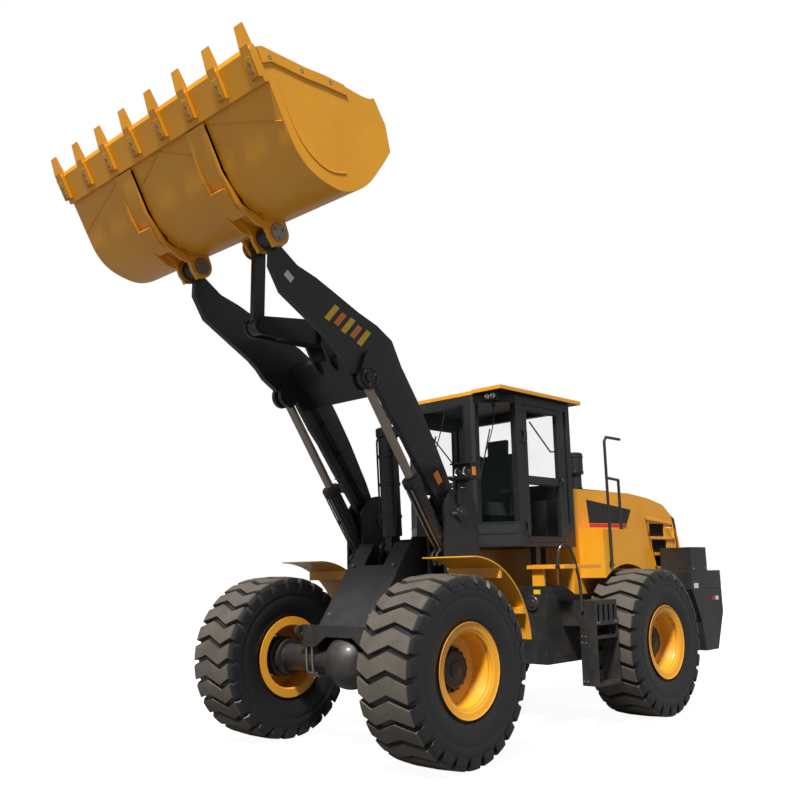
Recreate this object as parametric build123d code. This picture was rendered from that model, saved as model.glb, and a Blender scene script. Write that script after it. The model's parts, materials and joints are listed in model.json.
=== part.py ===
from build123d import *
import math
import os

# Articulated wheel loader, five-tonne class. Millimetres, X forward, Y to the left, Z up.
# The model is laid out about the steering hinge: X and Y are 0 on its axis and Z is 0 on
# the ground. The whole model is moved at the end, so that its box stands centred on the origin.

# Axles and wheels
WHEELBASE = 3300.0
TRACK = 2280.0
FRONT_AXLE_X = WHEELBASE / 2
REAR_AXLE_X = -WHEELBASE / 2
WHEEL_Y = TRACK / 2
TYRE_RADIUS = 775.0
AXLE_Z = 775.0
TYRE_WIDTH = 590.0
SHOULDER_HALF = 262.0
WALL_RADIUS = 640.0
LUG_DEPTH = 34.0
LUG_COUNT = 26
LUG_SHARE = 0.72
SHOULDER_DROP = 10.0
ZIGZAG = ((0.0, 1.5), (0.22, -3.2), (0.62, 2.8), (1.0, -1.8))
BEAD_RADIUS = 322.0
FLANGE_RADIUS = 385.0
RIM_HALF_WIDTH = 275.0
RIM_WALL = 18.0
HUB_RADIUS = 190.0
HUB_CAP_RADIUS = 150.0
STUB_RADIUS = 60.0
AXLE_TUBE_RADIUS = 125.0
DIFF_RADIUS = 250.0
FIT = 0.05
GAP = 5.0
SEAT = 0.3

# Steering hinge
PIN_RADIUS = 45.0
CAP_RADIUS = 78.0
CAP_THICKNESS = 14.0
STEER_ANGLE = 38.0
UPPER_TONGUE_Z = 1195.0
LOWER_TONGUE_Z = 565.0
TONGUE_THICKNESS = 40.0
FORK_THICKNESS = 35.0
FORK_RADIUS = 95.0

# Loader linkage at rest, as (X, Z) of each pin
BOOM_FOOT = (833.0, 2107.0)
BUCKET_HINGE = (3060.0, 4352.0)
LIFT_PIN = (1990.0, 3290.0)
LIFT_BASE = (850.0, 1600.0)
BELL_PIVOT = (2000.0, 3800.0)
BELL_FRONT = (2760.0, 3740.0)
BELL_REAR = (1160.0, 3560.0)
LINK_PIN = (2750.0, 4500.0)
TILT_BASE = (1080.0, 1790.0)
BUCKET_ROLL = 61.0
BOOM_TRAVEL = 80.0
LEVEL_TRAVEL = 66.0
DUMP_TRAVEL = 106.0

# Boom
ARM_Y = 560.0
ARM_PLATE = 60.0
ARM_FOOT_RADIUS = 140.0
ARM_TIP_RADIUS = 88.0
FOOT_BOSS_WIDTH = 140.0
TIP_BOSS_WIDTH = 140.0
CHEEK_RADIUS = 110.0
CHEEK_THICKNESS = 40.0

# Front frame
FRONT_BASE_Z = 1030.0
BASE_HALF = 520.0
TIE_EYE = (1850.0, 1040.0)
TIE_EYE_RADIUS = 25.0
BOX_Y = 350.0
PLATE = 30.0
TOWER_INNER_Y = 470.0
TOWER_OUTER_Y = 680.0
TOWER_REAR_X = 580.0
TOWER_FRONT_X = 1070.0
TOWER_TOP_RADIUS = 245.0

# Bucket
BUCKET_WIDTH = 3000.0
BUCKET_WALL = 20.0
LUG_PLATE = 40.0
LUG_INNER_Y = 440.0
LUG_OUTER_Y = 680.0
TOOTH_COUNT = 8
TOOTH_TIP = 1425.0

# Cab
CAB_FRONT_X = 300.0
CAB_FRONT_HALF = 400.0
CAB_HALF = 760.0
CAB_REAR_X = -1000.0
CAB_FLOOR_Z = 1800.0
CAB_TOP_Z = 3375.0
DOOR_FRONT_X = -20.0
DOOR_REAR_X = -800.0
DOOR_HINGE_X = -122.0
DOOR_HINGE_Y = 773.0
DOOR_HINGE_LEVELS = (2000.0, 2950.0)
CAB_POST = 70.0
GLASS = 8.0
ROOF_Z = 3380.0
ROOF_THICKNESS = 40.0

# Hood, counterweight and rear frame
HOOD_FRONT_X = -1045.0
HOOD_REAR_X = -3590.0
HOOD_HALF = 680.0
HOOD_BOTTOM_Z = 1290.0
HOOD_SHOULDER_Z = 2445.0
HOOD_WALL = 25.0
REAR_SEAT_Z = 1030.0
BEAM_Y = 370.0
BEAM_TOP_Z = 1250.0
BEAM_BOTTOM_Z = 950.0
TAIL_X = -3690.0
TAIL_HALF = 1130.0
TAIL_PLATE = 100.0
TOW_NOTCH_HALF = 150.0
TOW_WELL_HALF = 70.0
TAIL_TOP_Z = 1510.0
FORK_BOX_HALF = 200.0
FORK_BOTTOM_Z = 500.0
SIDE_BOX_INNER_Y = 600.0
SIDE_BOX_OUTER_Y = 930.0
SIDE_BOX_TOP_Z = 1400.0
TOW_PIN_Z = 1140.0
TOW_PIN_RADIUS = 27.0
LADDER_GAP = 60.0
LADDER_LENGTH = 405.0

# Cylinders
LIFT_BARREL_RADIUS = 72.0
LIFT_ROD_RADIUS = 42.0
LIFT_BARREL_LENGTH = 1000.0
LIFT_BASE_PIN = 38.0
TILT_BARREL_RADIUS = 98.0
TILT_ROD_RADIUS = 48.0
TILT_BARREL_LENGTH = 1200.0
STEER_BARREL_RADIUS = 45.0
STEER_ROD_RADIUS = 25.0
STEER_BARREL_LENGTH = 760.0
STEER_PIN_RADIUS = 22.0
STEER_BASE = (-950.0, 430.0)
STEER_EYE = (200.0, 330.0)
STEER_Z = 880.0


def block(x0, x1, y0, y1, z0, z1):
    return Pos((x0 + x1) / 2, (y0 + y1) / 2, (z0 + z1) / 2) * Box(abs(x1 - x0), abs(y1 - y0), abs(z1 - z0))


def side_plate(wire_points, y0, y1, holes=()):
    """Plate cut to an outline of (X, Z) points, standing between two Y planes."""
    face = make_face(Polyline(*[(x, 0, z) for x, z in wire_points], close=True))
    return side_face(face, y0, y1, holes)


def side_face(face, y0, y1, holes=()):
    low, high = min(y0, y1), max(y0, y1)
    plate = Pos(0, low, 0) * extrude(face, amount=high - low, dir=(0, 1, 0))
    for (x, z), radius in holes:
        plate -= bar_y(x, z, radius, low - 1, high + 1)
    return plate


def plan_plate(points, z0, z1):
    face = make_face(Polyline(*[(x, y, 0) for x, y in points], close=True))
    return Pos(0, 0, z0) * extrude(face, amount=z1 - z0, dir=(0, 0, 1))


def bar_y(x, z, radius, y0, y1):
    """Round bar along Y."""
    return Pos(x, (y0 + y1) / 2, z) * Rot(90, 0, 0) * Cylinder(radius, abs(y1 - y0))


def bar_z(x, y, radius, z0, z1):
    return Pos(x, y, (z0 + z1) / 2) * Cylinder(radius, abs(z1 - z0))


def rod_between(a, b, radius):
    """Round bar from point a to point b."""
    a, b = Vector(*a), Vector(*b)
    return Plane(origin=a, z_dir=b - a) * Pos(0, 0, (b - a).length / 2) * Cylinder(radius, (b - a).length)


def strap(points, y0, y1):
    """Plate whose outline is the hull of each pair of circles in a chain of (x, z, radius)."""
    plate = None
    for (xa, za, ra), (xb, zb, rb) in zip(points, points[1:]):
        rings = Sketch() + [Pos(xa, za) * Circle(ra), Pos(xb, zb) * Circle(rb)]
        link = make_hull(rings.edges())
        solid = Plane.XZ.offset(-max(y0, y1)) * extrude(link, amount=abs(y1 - y0))
        plate = solid if plate is None else plate + solid
    return plate


def mirrored(shape):
    return mirror(shape, Plane.XZ)


def both_sides(shape):
    return Compound([*shape.solids(), *mirrored(shape).solids()])


def unit(a, b):
    dx, dz = b[0] - a[0], b[1] - a[1]
    length = math.hypot(dx, dz)
    return dx / length, dz / length, length


def on_polygon(radius, degrees, y):
    """Point on a regular prism about Y with one flat to each lug; radius is to the flats."""
    flat = 360.0 / LUG_COUNT
    off = (degrees + flat / 2) % flat - flat / 2
    reach = radius / math.cos(math.radians(off))
    turn = math.radians(degrees - 90)
    return (reach * math.cos(turn), y, reach * math.sin(turn))


def tyre():
    """Tyre about the Y axis: zigzag lugs over a carcass in flat facets, open at the bead."""
    bead, wall, shoulder = RIM_HALF_WIDTH - 25, TYRE_WIDTH / 2, SHOULDER_HALF
    root, lip = TYRE_RADIUS - LUG_DEPTH, FLANGE_RADIUS + 7
    # each station round the section: radius on a lug, radius in a groove, Y, lead of the zigzag
    stations = [(BEAD_RADIUS, BEAD_RADIUS, -bead, 0), (lip, lip, -bead, 0), (WALL_RADIUS, WALL_RADIUS, -wall, 0)]
    for share, lead in ZIGZAG:
        drop = SHOULDER_DROP if share in (0.0, 1.0) else 0.0
        stations.append((TYRE_RADIUS - drop, root - drop, (2 * share - 1) * shoulder, lead))
    stations += [(WALL_RADIUS, WALL_RADIUS, wall, 0), (lip, lip, bead, 0), (BEAD_RADIUS, BEAD_RADIUS, bead, 0)]
    pitch = 360.0 / LUG_COUNT
    faces = []

    def panel(*points):
        loop = [p for i, p in enumerate(points) if (Vector(*p) - Vector(*points[i - 1])).length > 1e-6]
        if len(loop) == 4:
            a, b, c, d = [Vector(*p) for p in loop]
            level = abs((b - a).cross(c - a).normalized().dot(d - a)) < 1e-7
            if not level:
                faces.append(Face(Wire.make_polygon(loop[:3])))
                loop = [loop[0], loop[2], loop[3]]
        faces.append(Face(Wire.make_polygon(loop)))

    for first, second in zip(stations, stations[1:] + stations[:1]):
        for i in range(LUG_COUNT):
            start, end, after = (pitch * (i - LUG_SHARE / 2), pitch * (i + LUG_SHARE / 2),
                                 pitch * (i + 1 - LUG_SHARE / 2))
            lug, groove = 0, 1
            corner = [lambda turn, kind, st=st: on_polygon(st[kind], turn + st[3], st[2]) for st in (first, second)]
            panel(corner[0](start, lug), corner[0](end, lug), corner[1](end, lug), corner[1](start, lug))
            panel(corner[0](end, groove), corner[0](after, groove), corner[1](after, groove), corner[1](end, groove))
            for turn in (start, end):
                if first[0] != first[1] or second[0] != second[1]:
                    panel(corner[0](turn, lug), corner[1](turn, lug), corner[1](turn, groove), corner[0](turn, groove))
    return Solid(Shell(faces))


def wheel_at(x, side, shape):
    """Places what is modelled about the Y axis, outer side towards +Y, at one wheel."""
    placed = Pos(x, WHEEL_Y, AXLE_Z) * shape
    return placed if side > 0 else mirrored(placed)


def wheel_rim():
    """Rim, dished disc and hub about the Y axis, outer side towards +Y."""
    w, b = RIM_HALF_WIDTH, BEAD_RADIUS - SEAT
    inner, lip = b - RIM_WALL, w - 22
    half = [(inner, -w), (FLANGE_RADIUS, -w), (FLANGE_RADIUS, -lip), (b, -lip), (b, lip), (FLANGE_RADIUS, lip),
            (FLANGE_RADIUS, w), (b + 6, w), (b - 4, w - 18), (inner, w - 30), (inner, 150), (inner - 16, 138),
            (inner - 16, 104), (HUB_RADIUS + 30, 42), (HUB_RADIUS, 42), (HUB_RADIUS - 8, 72), (HUB_CAP_RADIUS + 12, 72),
            (HUB_CAP_RADIUS, 84), (HUB_CAP_RADIUS, 118), (HUB_CAP_RADIUS - 14, 130), (0, 130), (0, -30),
            (STUB_RADIUS + FIT, -30), (STUB_RADIUS + FIT, -200), (HUB_RADIUS - 10, -200), (HUB_RADIUS, -190),
            (HUB_RADIUS, 10), (HUB_RADIUS + 36, 10), (inner, 66)]
    return revolve(make_face(Polyline(*half, close=True)), Axis.Y)


def axle(x):
    """Axle housing with its central drive head and a stub into each hub."""
    hub_face = WHEEL_Y - 200 - 10
    z = AXLE_Z
    body = bar_y(x, z, AXLE_TUBE_RADIUS, -hub_face, hub_face)
    body += Pos(x, 0, z) * Sphere(DIFF_RADIUS)
    for side in (1, -1):
        body += bar_y(x, z, HUB_RADIUS - 20, side * (hub_face - 60), side * hub_face)
        body += bar_y(x, z, STUB_RADIUS, side * hub_face, side * (WHEEL_Y - 40))
    return body


def front_axle():
    body = axle(FRONT_AXLE_X)
    for side in (1, -1):
        body += block(FRONT_AXLE_X - 110, FRONT_AXLE_X + 110, side * 360, side * 500, AXLE_Z,
                      FRONT_BASE_Z - SEAT)
    return body


def rear_axle():
    body = axle(REAR_AXLE_X)
    body += block(REAR_AXLE_X - 150, REAR_AXLE_X + 150, -200, 200, AXLE_Z, REAR_SEAT_Z - SEAT)
    return body


def hinge_levels():
    """Z spans of the tongues and of the fork plates above and below each."""
    spans = []
    for z in (UPPER_TONGUE_Z, LOWER_TONGUE_Z):
        half = TONGUE_THICKNESS / 2
        tongue = (z - half, z + half)
        above = (z + half + GAP, z + half + GAP + FORK_THICKNESS)
        below = (z - half - GAP - FORK_THICKNESS, z - half - GAP)
        spans.append((tongue, above, below))
    return spans


def rear_chassis():
    """Two side beams, cross-members, outriggers, and the fork with the two steering pins."""
    outline = [(TAIL_X + TAIL_PLATE, BEAM_TOP_Z), (TAIL_X + TAIL_PLATE, BEAM_BOTTOM_Z), (-2050, BEAM_BOTTOM_Z),
               (-1970, REAR_SEAT_Z), (-1330, REAR_SEAT_Z), (-1250, BEAM_BOTTOM_Z), (-620, BEAM_BOTTOM_Z), (-620, BEAM_TOP_Z)]
    inner = BEAM_Y - 40
    body = side_plate(outline, inner, BEAM_Y) + side_plate(outline, -BEAM_Y, -inner)
    body += block(REAR_AXLE_X - 300, REAR_AXLE_X + 300, -inner, inner, REAR_SEAT_Z, REAR_SEAT_Z + 40)
    body += block(-660, -620, -BEAM_Y, BEAM_Y, BEAM_BOTTOM_Z, BEAM_TOP_Z)
    body += block(-660, -620, -FORK_BOX_HALF, FORK_BOX_HALF, FORK_BOTTOM_Z, BEAM_BOTTOM_Z)
    body += block(TAIL_X + 160, TAIL_X + 200, -inner, inner, BEAM_BOTTOM_Z, BEAM_TOP_Z)
    for x0, x1 in ((-3590, -3500), (-1180, -1090)):
        body += block(x0, x1, -HOOD_HALF, HOOD_HALF, BEAM_TOP_Z - 25, HOOD_BOTTOM_Z - SEAT)
    body += block(-180, -150, -FORK_BOX_HALF, FORK_BOX_HALF, 640, 1120)
    for tongue, above, below in hinge_levels():
        for z0, z1 in (above, below):
            plate = plan_plate([(-620, FORK_BOX_HALF), (-200, FORK_BOX_HALF), (0, FORK_RADIUS), (0, -FORK_RADIUS),
                                (-200, -FORK_BOX_HALF), (-620, -FORK_BOX_HALF)], z0, z1)
            body += plate + bar_z(0, 0, FORK_RADIUS, z0, z1)
        body += bar_z(0, 0, PIN_RADIUS, below[0] - 12, above[1] + 12)
    for side in (1, -1):
        body += block(-640, -150, side * (FORK_BOX_HALF - 30), side * FORK_BOX_HALF, FORK_BOTTOM_Z, BEAM_TOP_Z)
        for x0, x1, y0 in ((-820, -700, BEAM_Y - 20), (-420, -320, FORK_BOX_HALF - 20)):
            body += block(x0, x1, side * y0, side * (SIDE_BOX_INNER_Y - SEAT), BEAM_TOP_Z - 120, BEAM_TOP_Z)
        x, y = STEER_BASE
        for z0, z1 in lug_levels():
            body += block(x - 90, x, side * (y - 45), side * (y + 45), z0, z1) + bar_z(x, side * y, 45, z0, z1)
        body += block(x - 90, x - 62, side * inner, side * (y + 45), lug_levels()[1][0], BEAM_BOTTOM_Z + 60)
        body += bar_z(x, side * y, STEER_PIN_RADIUS, lug_levels()[1][0], lug_levels()[0][1] + 10)
    return body


def lug_levels():
    half = 30 + 2
    return ((STEER_Z + half, STEER_Z + half + 22), (STEER_Z - half - 22, STEER_Z - half))


def front_frame():
    """Centre box, boom towers, axle base and the two hinge tongues."""
    side = [(300, 480), (300, 1250), (600, 1500), (600, 1900), (1150, 1900), (1735, 1085),
            (1790, 1085), (1790, FRONT_BASE_Z), (1470, FRONT_BASE_Z), (1350, 600), (500, 480)]
    body = side_plate(side, BOX_Y - PLATE, BOX_Y) + side_plate(side, -BOX_Y, PLATE - BOX_Y)
    inner = BOX_Y - PLATE
    body += block(300, 330, -inner, inner, 480, 1250)
    body += block(1500, 1790, -BASE_HALF, BASE_HALF, FRONT_BASE_Z, FRONT_BASE_Z + 40)
    apron = Plane.YZ.offset(1785) * make_face(Polyline((-BASE_HALF, 1100), (-BASE_HALF, 900), (-330, 900), (-180, 995),
                                                       (180, 995), (330, 900), (BASE_HALF, 900), (BASE_HALF, 1100),
                                                       close=True))
    body += extrude(apron, amount=30)
    for side in (1, -1):
        eye = block(1790, TIE_EYE[0], side * (BASE_HALF - 30), side * BASE_HALF, TIE_EYE[1] - 45, TIE_EYE[1] + 45)
        eye += bar_y(TIE_EYE[0], TIE_EYE[1], 55, side * (BASE_HALF - 30), side * BASE_HALF)
        body += eye - bar_y(TIE_EYE[0], TIE_EYE[1], TIE_EYE_RADIUS, side * (BASE_HALF - 31), side * (BASE_HALF + 1))
    body += block(600, 1260, -inner, inner, 1560, 1600)
    body += block(600, 630, -inner, inner, 1600, 1900)
    xf, zf = BOOM_FOOT
    xg, zg = LIFT_BASE
    xt, zt = TILT_BASE
    wall = tower_wall()
    for side in (1, -1):
        for y in (TOWER_INNER_Y - PLATE, TOWER_OUTER_Y - PLATE):
            plate = Pos(0, y, 0) * wall
            body += plate if side > 0 else mirrored(plate)
        body += block(600, 1000, side * BOX_Y, side * (TOWER_OUTER_Y - PLATE), 1200, 1350)
        body += block(TOWER_REAR_X, TOWER_REAR_X + 25, side * TOWER_INNER_Y, side * (TOWER_OUTER_Y - PLATE), 1350, 1900)
        body += block(600, 1000, side * BOX_Y, side * (TOWER_INNER_Y - PLATE), 1350, 1500)
        body += bar_y(xf, zf, PIN_RADIUS, side * (TOWER_INNER_Y - 45), side * (TOWER_OUTER_Y + 15))
        body += bar_y(xf, zf, 80, side * TOWER_OUTER_Y, side * (TOWER_OUTER_Y + 15))
        body += bar_y(xg, zg, LIFT_BASE_PIN, side * (TOWER_INNER_Y - 10), side * (TOWER_OUTER_Y - 10))
        lug = strap([(xt, zt, 75), (xt, zt - 190, 75)], side * 75, side * 105)
        lug += block(xt - 110, xt + 110, side * 75, side * 105, 1600, zt - 60)
        lug -= block(xt - 200, xt + 200, side * 60, side * 120, 1400, 1599)
        lug -= bar_y(xt, zt, PIN_RADIUS + FIT, side * 70, side * 110)
        body += lug
        xs, ys = STEER_EYE
        for z0, z1 in lug_levels():
            body += block(xs, 310, side * (ys - 40), side * (ys + 40), z0, z1) + bar_z(xs, side * ys, 40, z0, z1)
        body += block(300, 330, side * (inner - 5), side * (ys + 40), STEER_Z - 90, STEER_Z + 90)
    for tongue, above, below in hinge_levels():
        z0, z1 = tongue
        plate = plan_plate([(0, 90), (130, 200), (300, 320), (300, -320), (130, -200), (0, -90)], z0, z1)
        plate += bar_z(0, 0, 90, z0, z1)
        body += plate - bar_z(0, 0, PIN_RADIUS + FIT, z0 - 1, z1 + 1)
    return body


def tower_wall():
    x0, x1 = TOWER_REAR_X, TOWER_FRONT_X
    xa, za = BOOM_FOOT
    r = TOWER_TOP_RADIUS
    plate = side_plate([(x0, 1150), (x0, za), (x1, za), (x1, 1400), (900, 1150)], 0, PLATE)
    return plate + bar_y(xa, za, r, 0, PLATE)


def front_cover():
    """Sloping cover plate on the front of the centre box."""
    a, b = (1735.0, 1085.0), (1190.0, 1844.3)
    ux, uz, length = unit(a, b)
    nx, nz = uz, -ux
    off, thick = SEAT, 12
    pts = [(a[0] + nx * off, a[1] + nz * off), (b[0] + nx * off, b[1] + nz * off),
           (b[0] + nx * (off + thick), b[1] + nz * (off + thick)),
           (a[0] + nx * (off + thick), a[1] + nz * (off + thick))]
    return side_plate(pts, -BOX_Y, BOX_Y) - block(1000, 1500, -135, 135, 1640, 2000)


def front_fenders():
    """Mudguards: a quarter arc behind and over each front wheel, with a flat top."""
    xc, zc, r, t = 1425.0, 910.0, 785.0, 12.0
    ring = Pos(xc, 0, zc) * Rot(90, 0, 0) * (Cylinder(r, 600) - Cylinder(r - t, 602))
    quarter = ring & block(xc - r - 10, xc, -400, 400, zc + 40, zc + r + 10)
    guard = Pos(0, 1000, 0) * quarter
    inside = Pos(xc, 1000, zc) * Rot(90, 0, 0) * Cylinder(r - t / 2, 700)
    upper = block(1030, 1060, TOWER_OUTER_Y + SEAT, 1290, 1500, 1700) & inside
    lower = block(680, 760, TOWER_OUTER_Y + SEAT, 1290, 1180, 1240) & inside
    return both_sides(guard + upper + lower)


def headlamps():
    post = block(860, 900, TOWER_OUTER_Y + SEAT, TOWER_OUTER_Y + 25, 2200, 2420)
    post += block(860, 900, TOWER_OUTER_Y + 25, 830, 2395, 2420)
    lamp = Pos(895, 820, 2490) * Box(140, 210, 140)
    lamp -= Pos(966, 768, 2490) * Box(16, 88, 116) + Pos(966, 872, 2490) * Box(16, 88, 116)
    visor = block(820, 1010, 705, 935, 2560, 2572)
    for x, y in ((966, 768), (966, 872)):
        lamp += Pos(x - 8, y, 2490) * Rot(0, 90, 0) * Cone(40, 22, 14, align=(Align.CENTER, Align.CENTER, Align.MIN))
    return both_sides(post + lamp + visor)


def boom():
    """Two arm plates joined by the cross-member that carries the bellcrank bracket."""
    xa, za = BOOM_FOOT
    xb, zb = BUCKET_HINGE
    xd, zd = LIFT_PIN
    upper = [(922, 2552 - 60), (1150, 2900), (1318, 3166), (1525, 3461), (1645, 3690), (1836, 3801), (2075, 3884),
             (2379, 4016), (2573, 4097), (2785, 4161), (2934, 4265)]
    lower = [(3065, 3975 + 120), (2943, 3893), (2785, 3798), (2575, 3672), (2431, 3586), (2334, 3508), (2260, 3425),
             (2060, 3300), (1849, 3236), (1718, 3038), (1558, 2859), (1367, 2600), (1200, 2394), (960, 2107 - 20)]
    outline = [(xa - 60, za + 60)] + upper + [(xb, zb)] + lower + [(xa, za)]
    y0, y1 = ARM_Y - ARM_PLATE / 2, ARM_Y + ARM_PLATE / 2
    arm = side_plate(outline, y0, y1)
    arm += bar_y(xa, za, ARM_FOOT_RADIUS, ARM_Y - FOOT_BOSS_WIDTH / 2, ARM_Y + FOOT_BOSS_WIDTH / 2)
    arm += bar_y(xb, zb, ARM_TIP_RADIUS, ARM_Y - TIP_BOSS_WIDTH / 2, ARM_Y + TIP_BOSS_WIDTH / 2)
    ux, uz, _ = unit(LIFT_PIN, LIFT_BASE)
    arm -= strap([(xd, zd, 80), (xd + 400 * ux, zd + 400 * uz, 95)], y0 - 1, y1 + 1)
    for drift in ((35, -20), (66, -76)):
        xe, ze = xd + drift[0], zd + drift[1]
        arm -= strap([(xd, zd, 80), (xe, ze, 80), (xe + 400 * ux, ze + 400 * uz, 95)], y0 - 1, y1 + 1)
    arm += strap([(xd, zd, CHEEK_RADIUS), (xd - 60, zd + 150, CHEEK_RADIUS)], y1, y1 + CHEEK_THICKNESS)
    arm += strap([(xd, zd, CHEEK_RADIUS), (xd - 60, zd + 150, CHEEK_RADIUS)], y0 - CHEEK_THICKNESS, y0)
    arm += bar_y(xd, zd, 60, y1 + CHEEK_THICKNESS, y1 + CHEEK_THICKNESS + 20)
    arm -= bar_y(xa, za, PIN_RADIUS + FIT, 0, 1000)
    arm -= bar_y(xb, zb, PIN_RADIUS + FIT, 0, 1000)
    low, high = (1675, 3197), (1980, 3547)
    ux, uz, _ = unit(low, high)
    depth = 120.0
    member = side_plate([low, high, (high[0] - uz * depth, high[1] + ux * depth),
                         (low[0] - uz * depth, low[1] + ux * depth)], -y0, y0)
    xp, zp = BELL_PIVOT
    dumped = (1439.0, 3131.0)
    member -= strap([(xp, zp, 130), (*dumped, 95)], -92, 92)
    body = arm + mirrored(arm) + member
    for side in (1, -1):
        bracket = side_plate([(1780, 3400), (1980, 3380 + 100), (2110, 3700), (xp + 115, zp), (xp - 60, zp + 60),
                              (1860, 3640)], side * 92, side * 125)
        bracket += bar_y(xp, zp, 115, side * 92, side * 125)
        bracket -= bar_y(xp, zp, PIN_RADIUS + FIT, side * 80, side * 130)
        body += bracket
    return body


def bellcrank():
    """Z-bar rocker: two cheeks with a block between them round the pivot."""
    (xp, zp), (xf, zf), (xr, zr) = BELL_PIVOT, BELL_FRONT, BELL_REAR
    chain = [(xr, zr, 80), (xp - 430, zp - 55, 88), (xp, zp, 125), (xf, zf, 85)]
    body = strap(chain, 56, 86) + strap(chain, -86, -56)
    core = strap([(xp - 250, zp - 40, 88), (xp, zp, 125), (xp + 480, zp - 38, 90)], -56, 56)
    body += core
    body -= bar_y(xp, zp, PIN_RADIUS + FIT, -100, 100)
    for side in (1, -1):
        body += bar_y(xf, zf, 55, side * 86, side * 100) + bar_y(xr, zr, 55, side * 86, side * 100)
    return body


def capped_pin(x, z, y0, y1, cap=(CAP_RADIUS, CAP_THICKNESS)):
    """Pin with a round retaining cap, (radius, thickness), beyond each end of its seat."""
    pin = bar_y(x, z, PIN_RADIUS, y0, y1)
    for y, out in ((y0, -1), (y1, 1)):
        pin += bar_y(x, z, cap[0], y + out * SEAT, y + out * (SEAT + cap[1]))
    return pin + bar_y(x, z, PIN_RADIUS, y0 - 1, y1 + 1)


def bellcrank_pin():
    return capped_pin(*BELL_PIVOT, -125, 125)


def link():
    (xf, zf), (xl, zl) = BELL_FRONT, LINK_PIN
    body = strap([(xf, zf, 58), (xl, zl, 58)], -30, 30)
    body += bar_y(xf, zf, 75, -45, 45) + bar_y(xl, zl, 75, -45, 45)
    return body - bar_y(xl, zl, PIN_RADIUS + FIT, -50, 50)


def link_pin():
    return capped_pin(*LINK_PIN, -90, 90, (98.0, 24.0))


def bucket_pins():
    xb, zb = BUCKET_HINGE
    return both_sides(capped_pin(xb, zb, LUG_INNER_Y, LUG_OUTER_Y))


def bucket_place():
    """Bucket frame: origin on the hinge, level floor, lip towards +X."""
    xb, zb = BUCKET_HINGE
    return Pos(xb, 0, zb) * Rot(0, -BUCKET_ROLL, 0)


def bucket_shell():
    """Rolled shell, end plates and the hinge and link lugs behind it."""
    half = BUCKET_WIDTH / 2
    t = BUCKET_WALL
    floor = Polyline((1240, -300), (586, -300))
    back = Spline((586, -300), (312, -228), (167, -95), (102, 2), (68, 140), (80, 300), (120, 420),
                  (176, 536), (280, 731), tangents=((-1, 0), (0.5, 0.85)))
    top = Line((280, 731), (495, 790))
    close = Polyline((495, 790), (495, 768), (300, 712))
    inside = Spline((300, 712), (195, 526), (140, 412), (101, 296), (90, 142), (123, 12), (184, -82),
                    (320, -209), (586, -280), tangents=((-0.5, -0.85), (1, 0)))
    lip = Polyline((586, -280), (1240, -280), (1240, -300))
    wall = make_face(Wire([*floor.edges(), *back.edges(), *top.edges(), *close.edges(), *inside.edges(), *lip.edges()]))
    shell = Plane.XZ.offset(-half) * extrude(wall, amount=2 * half)
    upper = [(1240, -300), (1240, -250), (1044, 107), (966, 281), (864, 465), (761, 629), (727, 707), (722, 770),
             (495, 790)]
    edge = Polyline(*upper)
    end_face = make_face(Wire([*floor.edges(), *back.edges(), *top.edges(), *edge.edges()]))
    for side in (1, -1):
        plate = Plane.XZ.offset(-half if side > 0 else half - t) * extrude(end_face, amount=t)
        shell += plate
    for side in (1, -1):
        wear = side_plate([(980, -300), (620, -300), (330, -236), (330, -262), (612, -326), (980, -326)],
                          side * (LUG_INNER_Y - 10), side * (LUG_OUTER_Y + 10))
        cutter = side_plate([(1240, -300), (1240, -250), (1044, 107), (966, 281), (864, 465), (780, 452), (886, 245),
                             (966, 70), (1120, -210), (1120, -300)], side * (half - t), side * (half + 12))
        shell += wear + cutter
    for side in (1, -1):
        for y in (LUG_INNER_Y, LUG_OUTER_Y - LUG_PLATE):
            lug = side_plate([(-95, -95), (95, -110), (330, -240), (330, -215), (180, -70), (115, 30), (90, 120),
                              (0, 110), (-95, 60)], side * y, side * (y + LUG_PLATE))
            lug += bar_y(0, 0, 110, side * y, side * (y + LUG_PLATE))
            lug -= bar_y(0, 0, PIN_RADIUS + FIT, side * (y - 1), side * (y + LUG_PLATE + 1))
            shell += lug
        xl, zl = local_link_pin()
        ear = strap([(xl, zl, 85), (xl + 140, zl + 10, 110)], side * 50, side * 90)
        ear -= shell_cavity()
        ear -= bar_y(xl, zl, PIN_RADIUS + FIT, side * 40, side * 100)
        shell += ear
    return bucket_place() * shell


def shell_cavity():
    pts = [(101, 296), (90, 142), (123, 12), (600, 12), (600, 712), (300, 712), (195, 526), (140, 412)]
    return side_plate(pts, -200, 200)


def local_link_pin():
    dx, dz = LINK_PIN[0] - BUCKET_HINGE[0], LINK_PIN[1] - BUCKET_HINGE[1]
    c, s = math.cos(math.radians(BUCKET_ROLL)), math.sin(math.radians(BUCKET_ROLL))
    return dx * c + dz * s, -dx * s + dz * c


def bucket_edge():
    """Cutting edge with its teeth."""
    half = BUCKET_WIDTH / 2
    edge = side_plate([(990, -300 - SEAT), (1240, -300 - SEAT), (1275, -318), (1240, -336), (990, -336)], -half, half)
    pitch = (BUCKET_WIDTH - 100) / (TOOTH_COUNT - 1)
    for i in range(TOOTH_COUNT):
        y = -half + 50 + i * pitch
        tooth = side_plate([(1040, -336), (1240, -336), (1290, -318), (TOOTH_TIP, -330), (TOOTH_TIP, -342), (1270, -372),
                            (1040, -366)], y - 45, y + 45)
        edge += tooth
    return bucket_place() * edge


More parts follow.
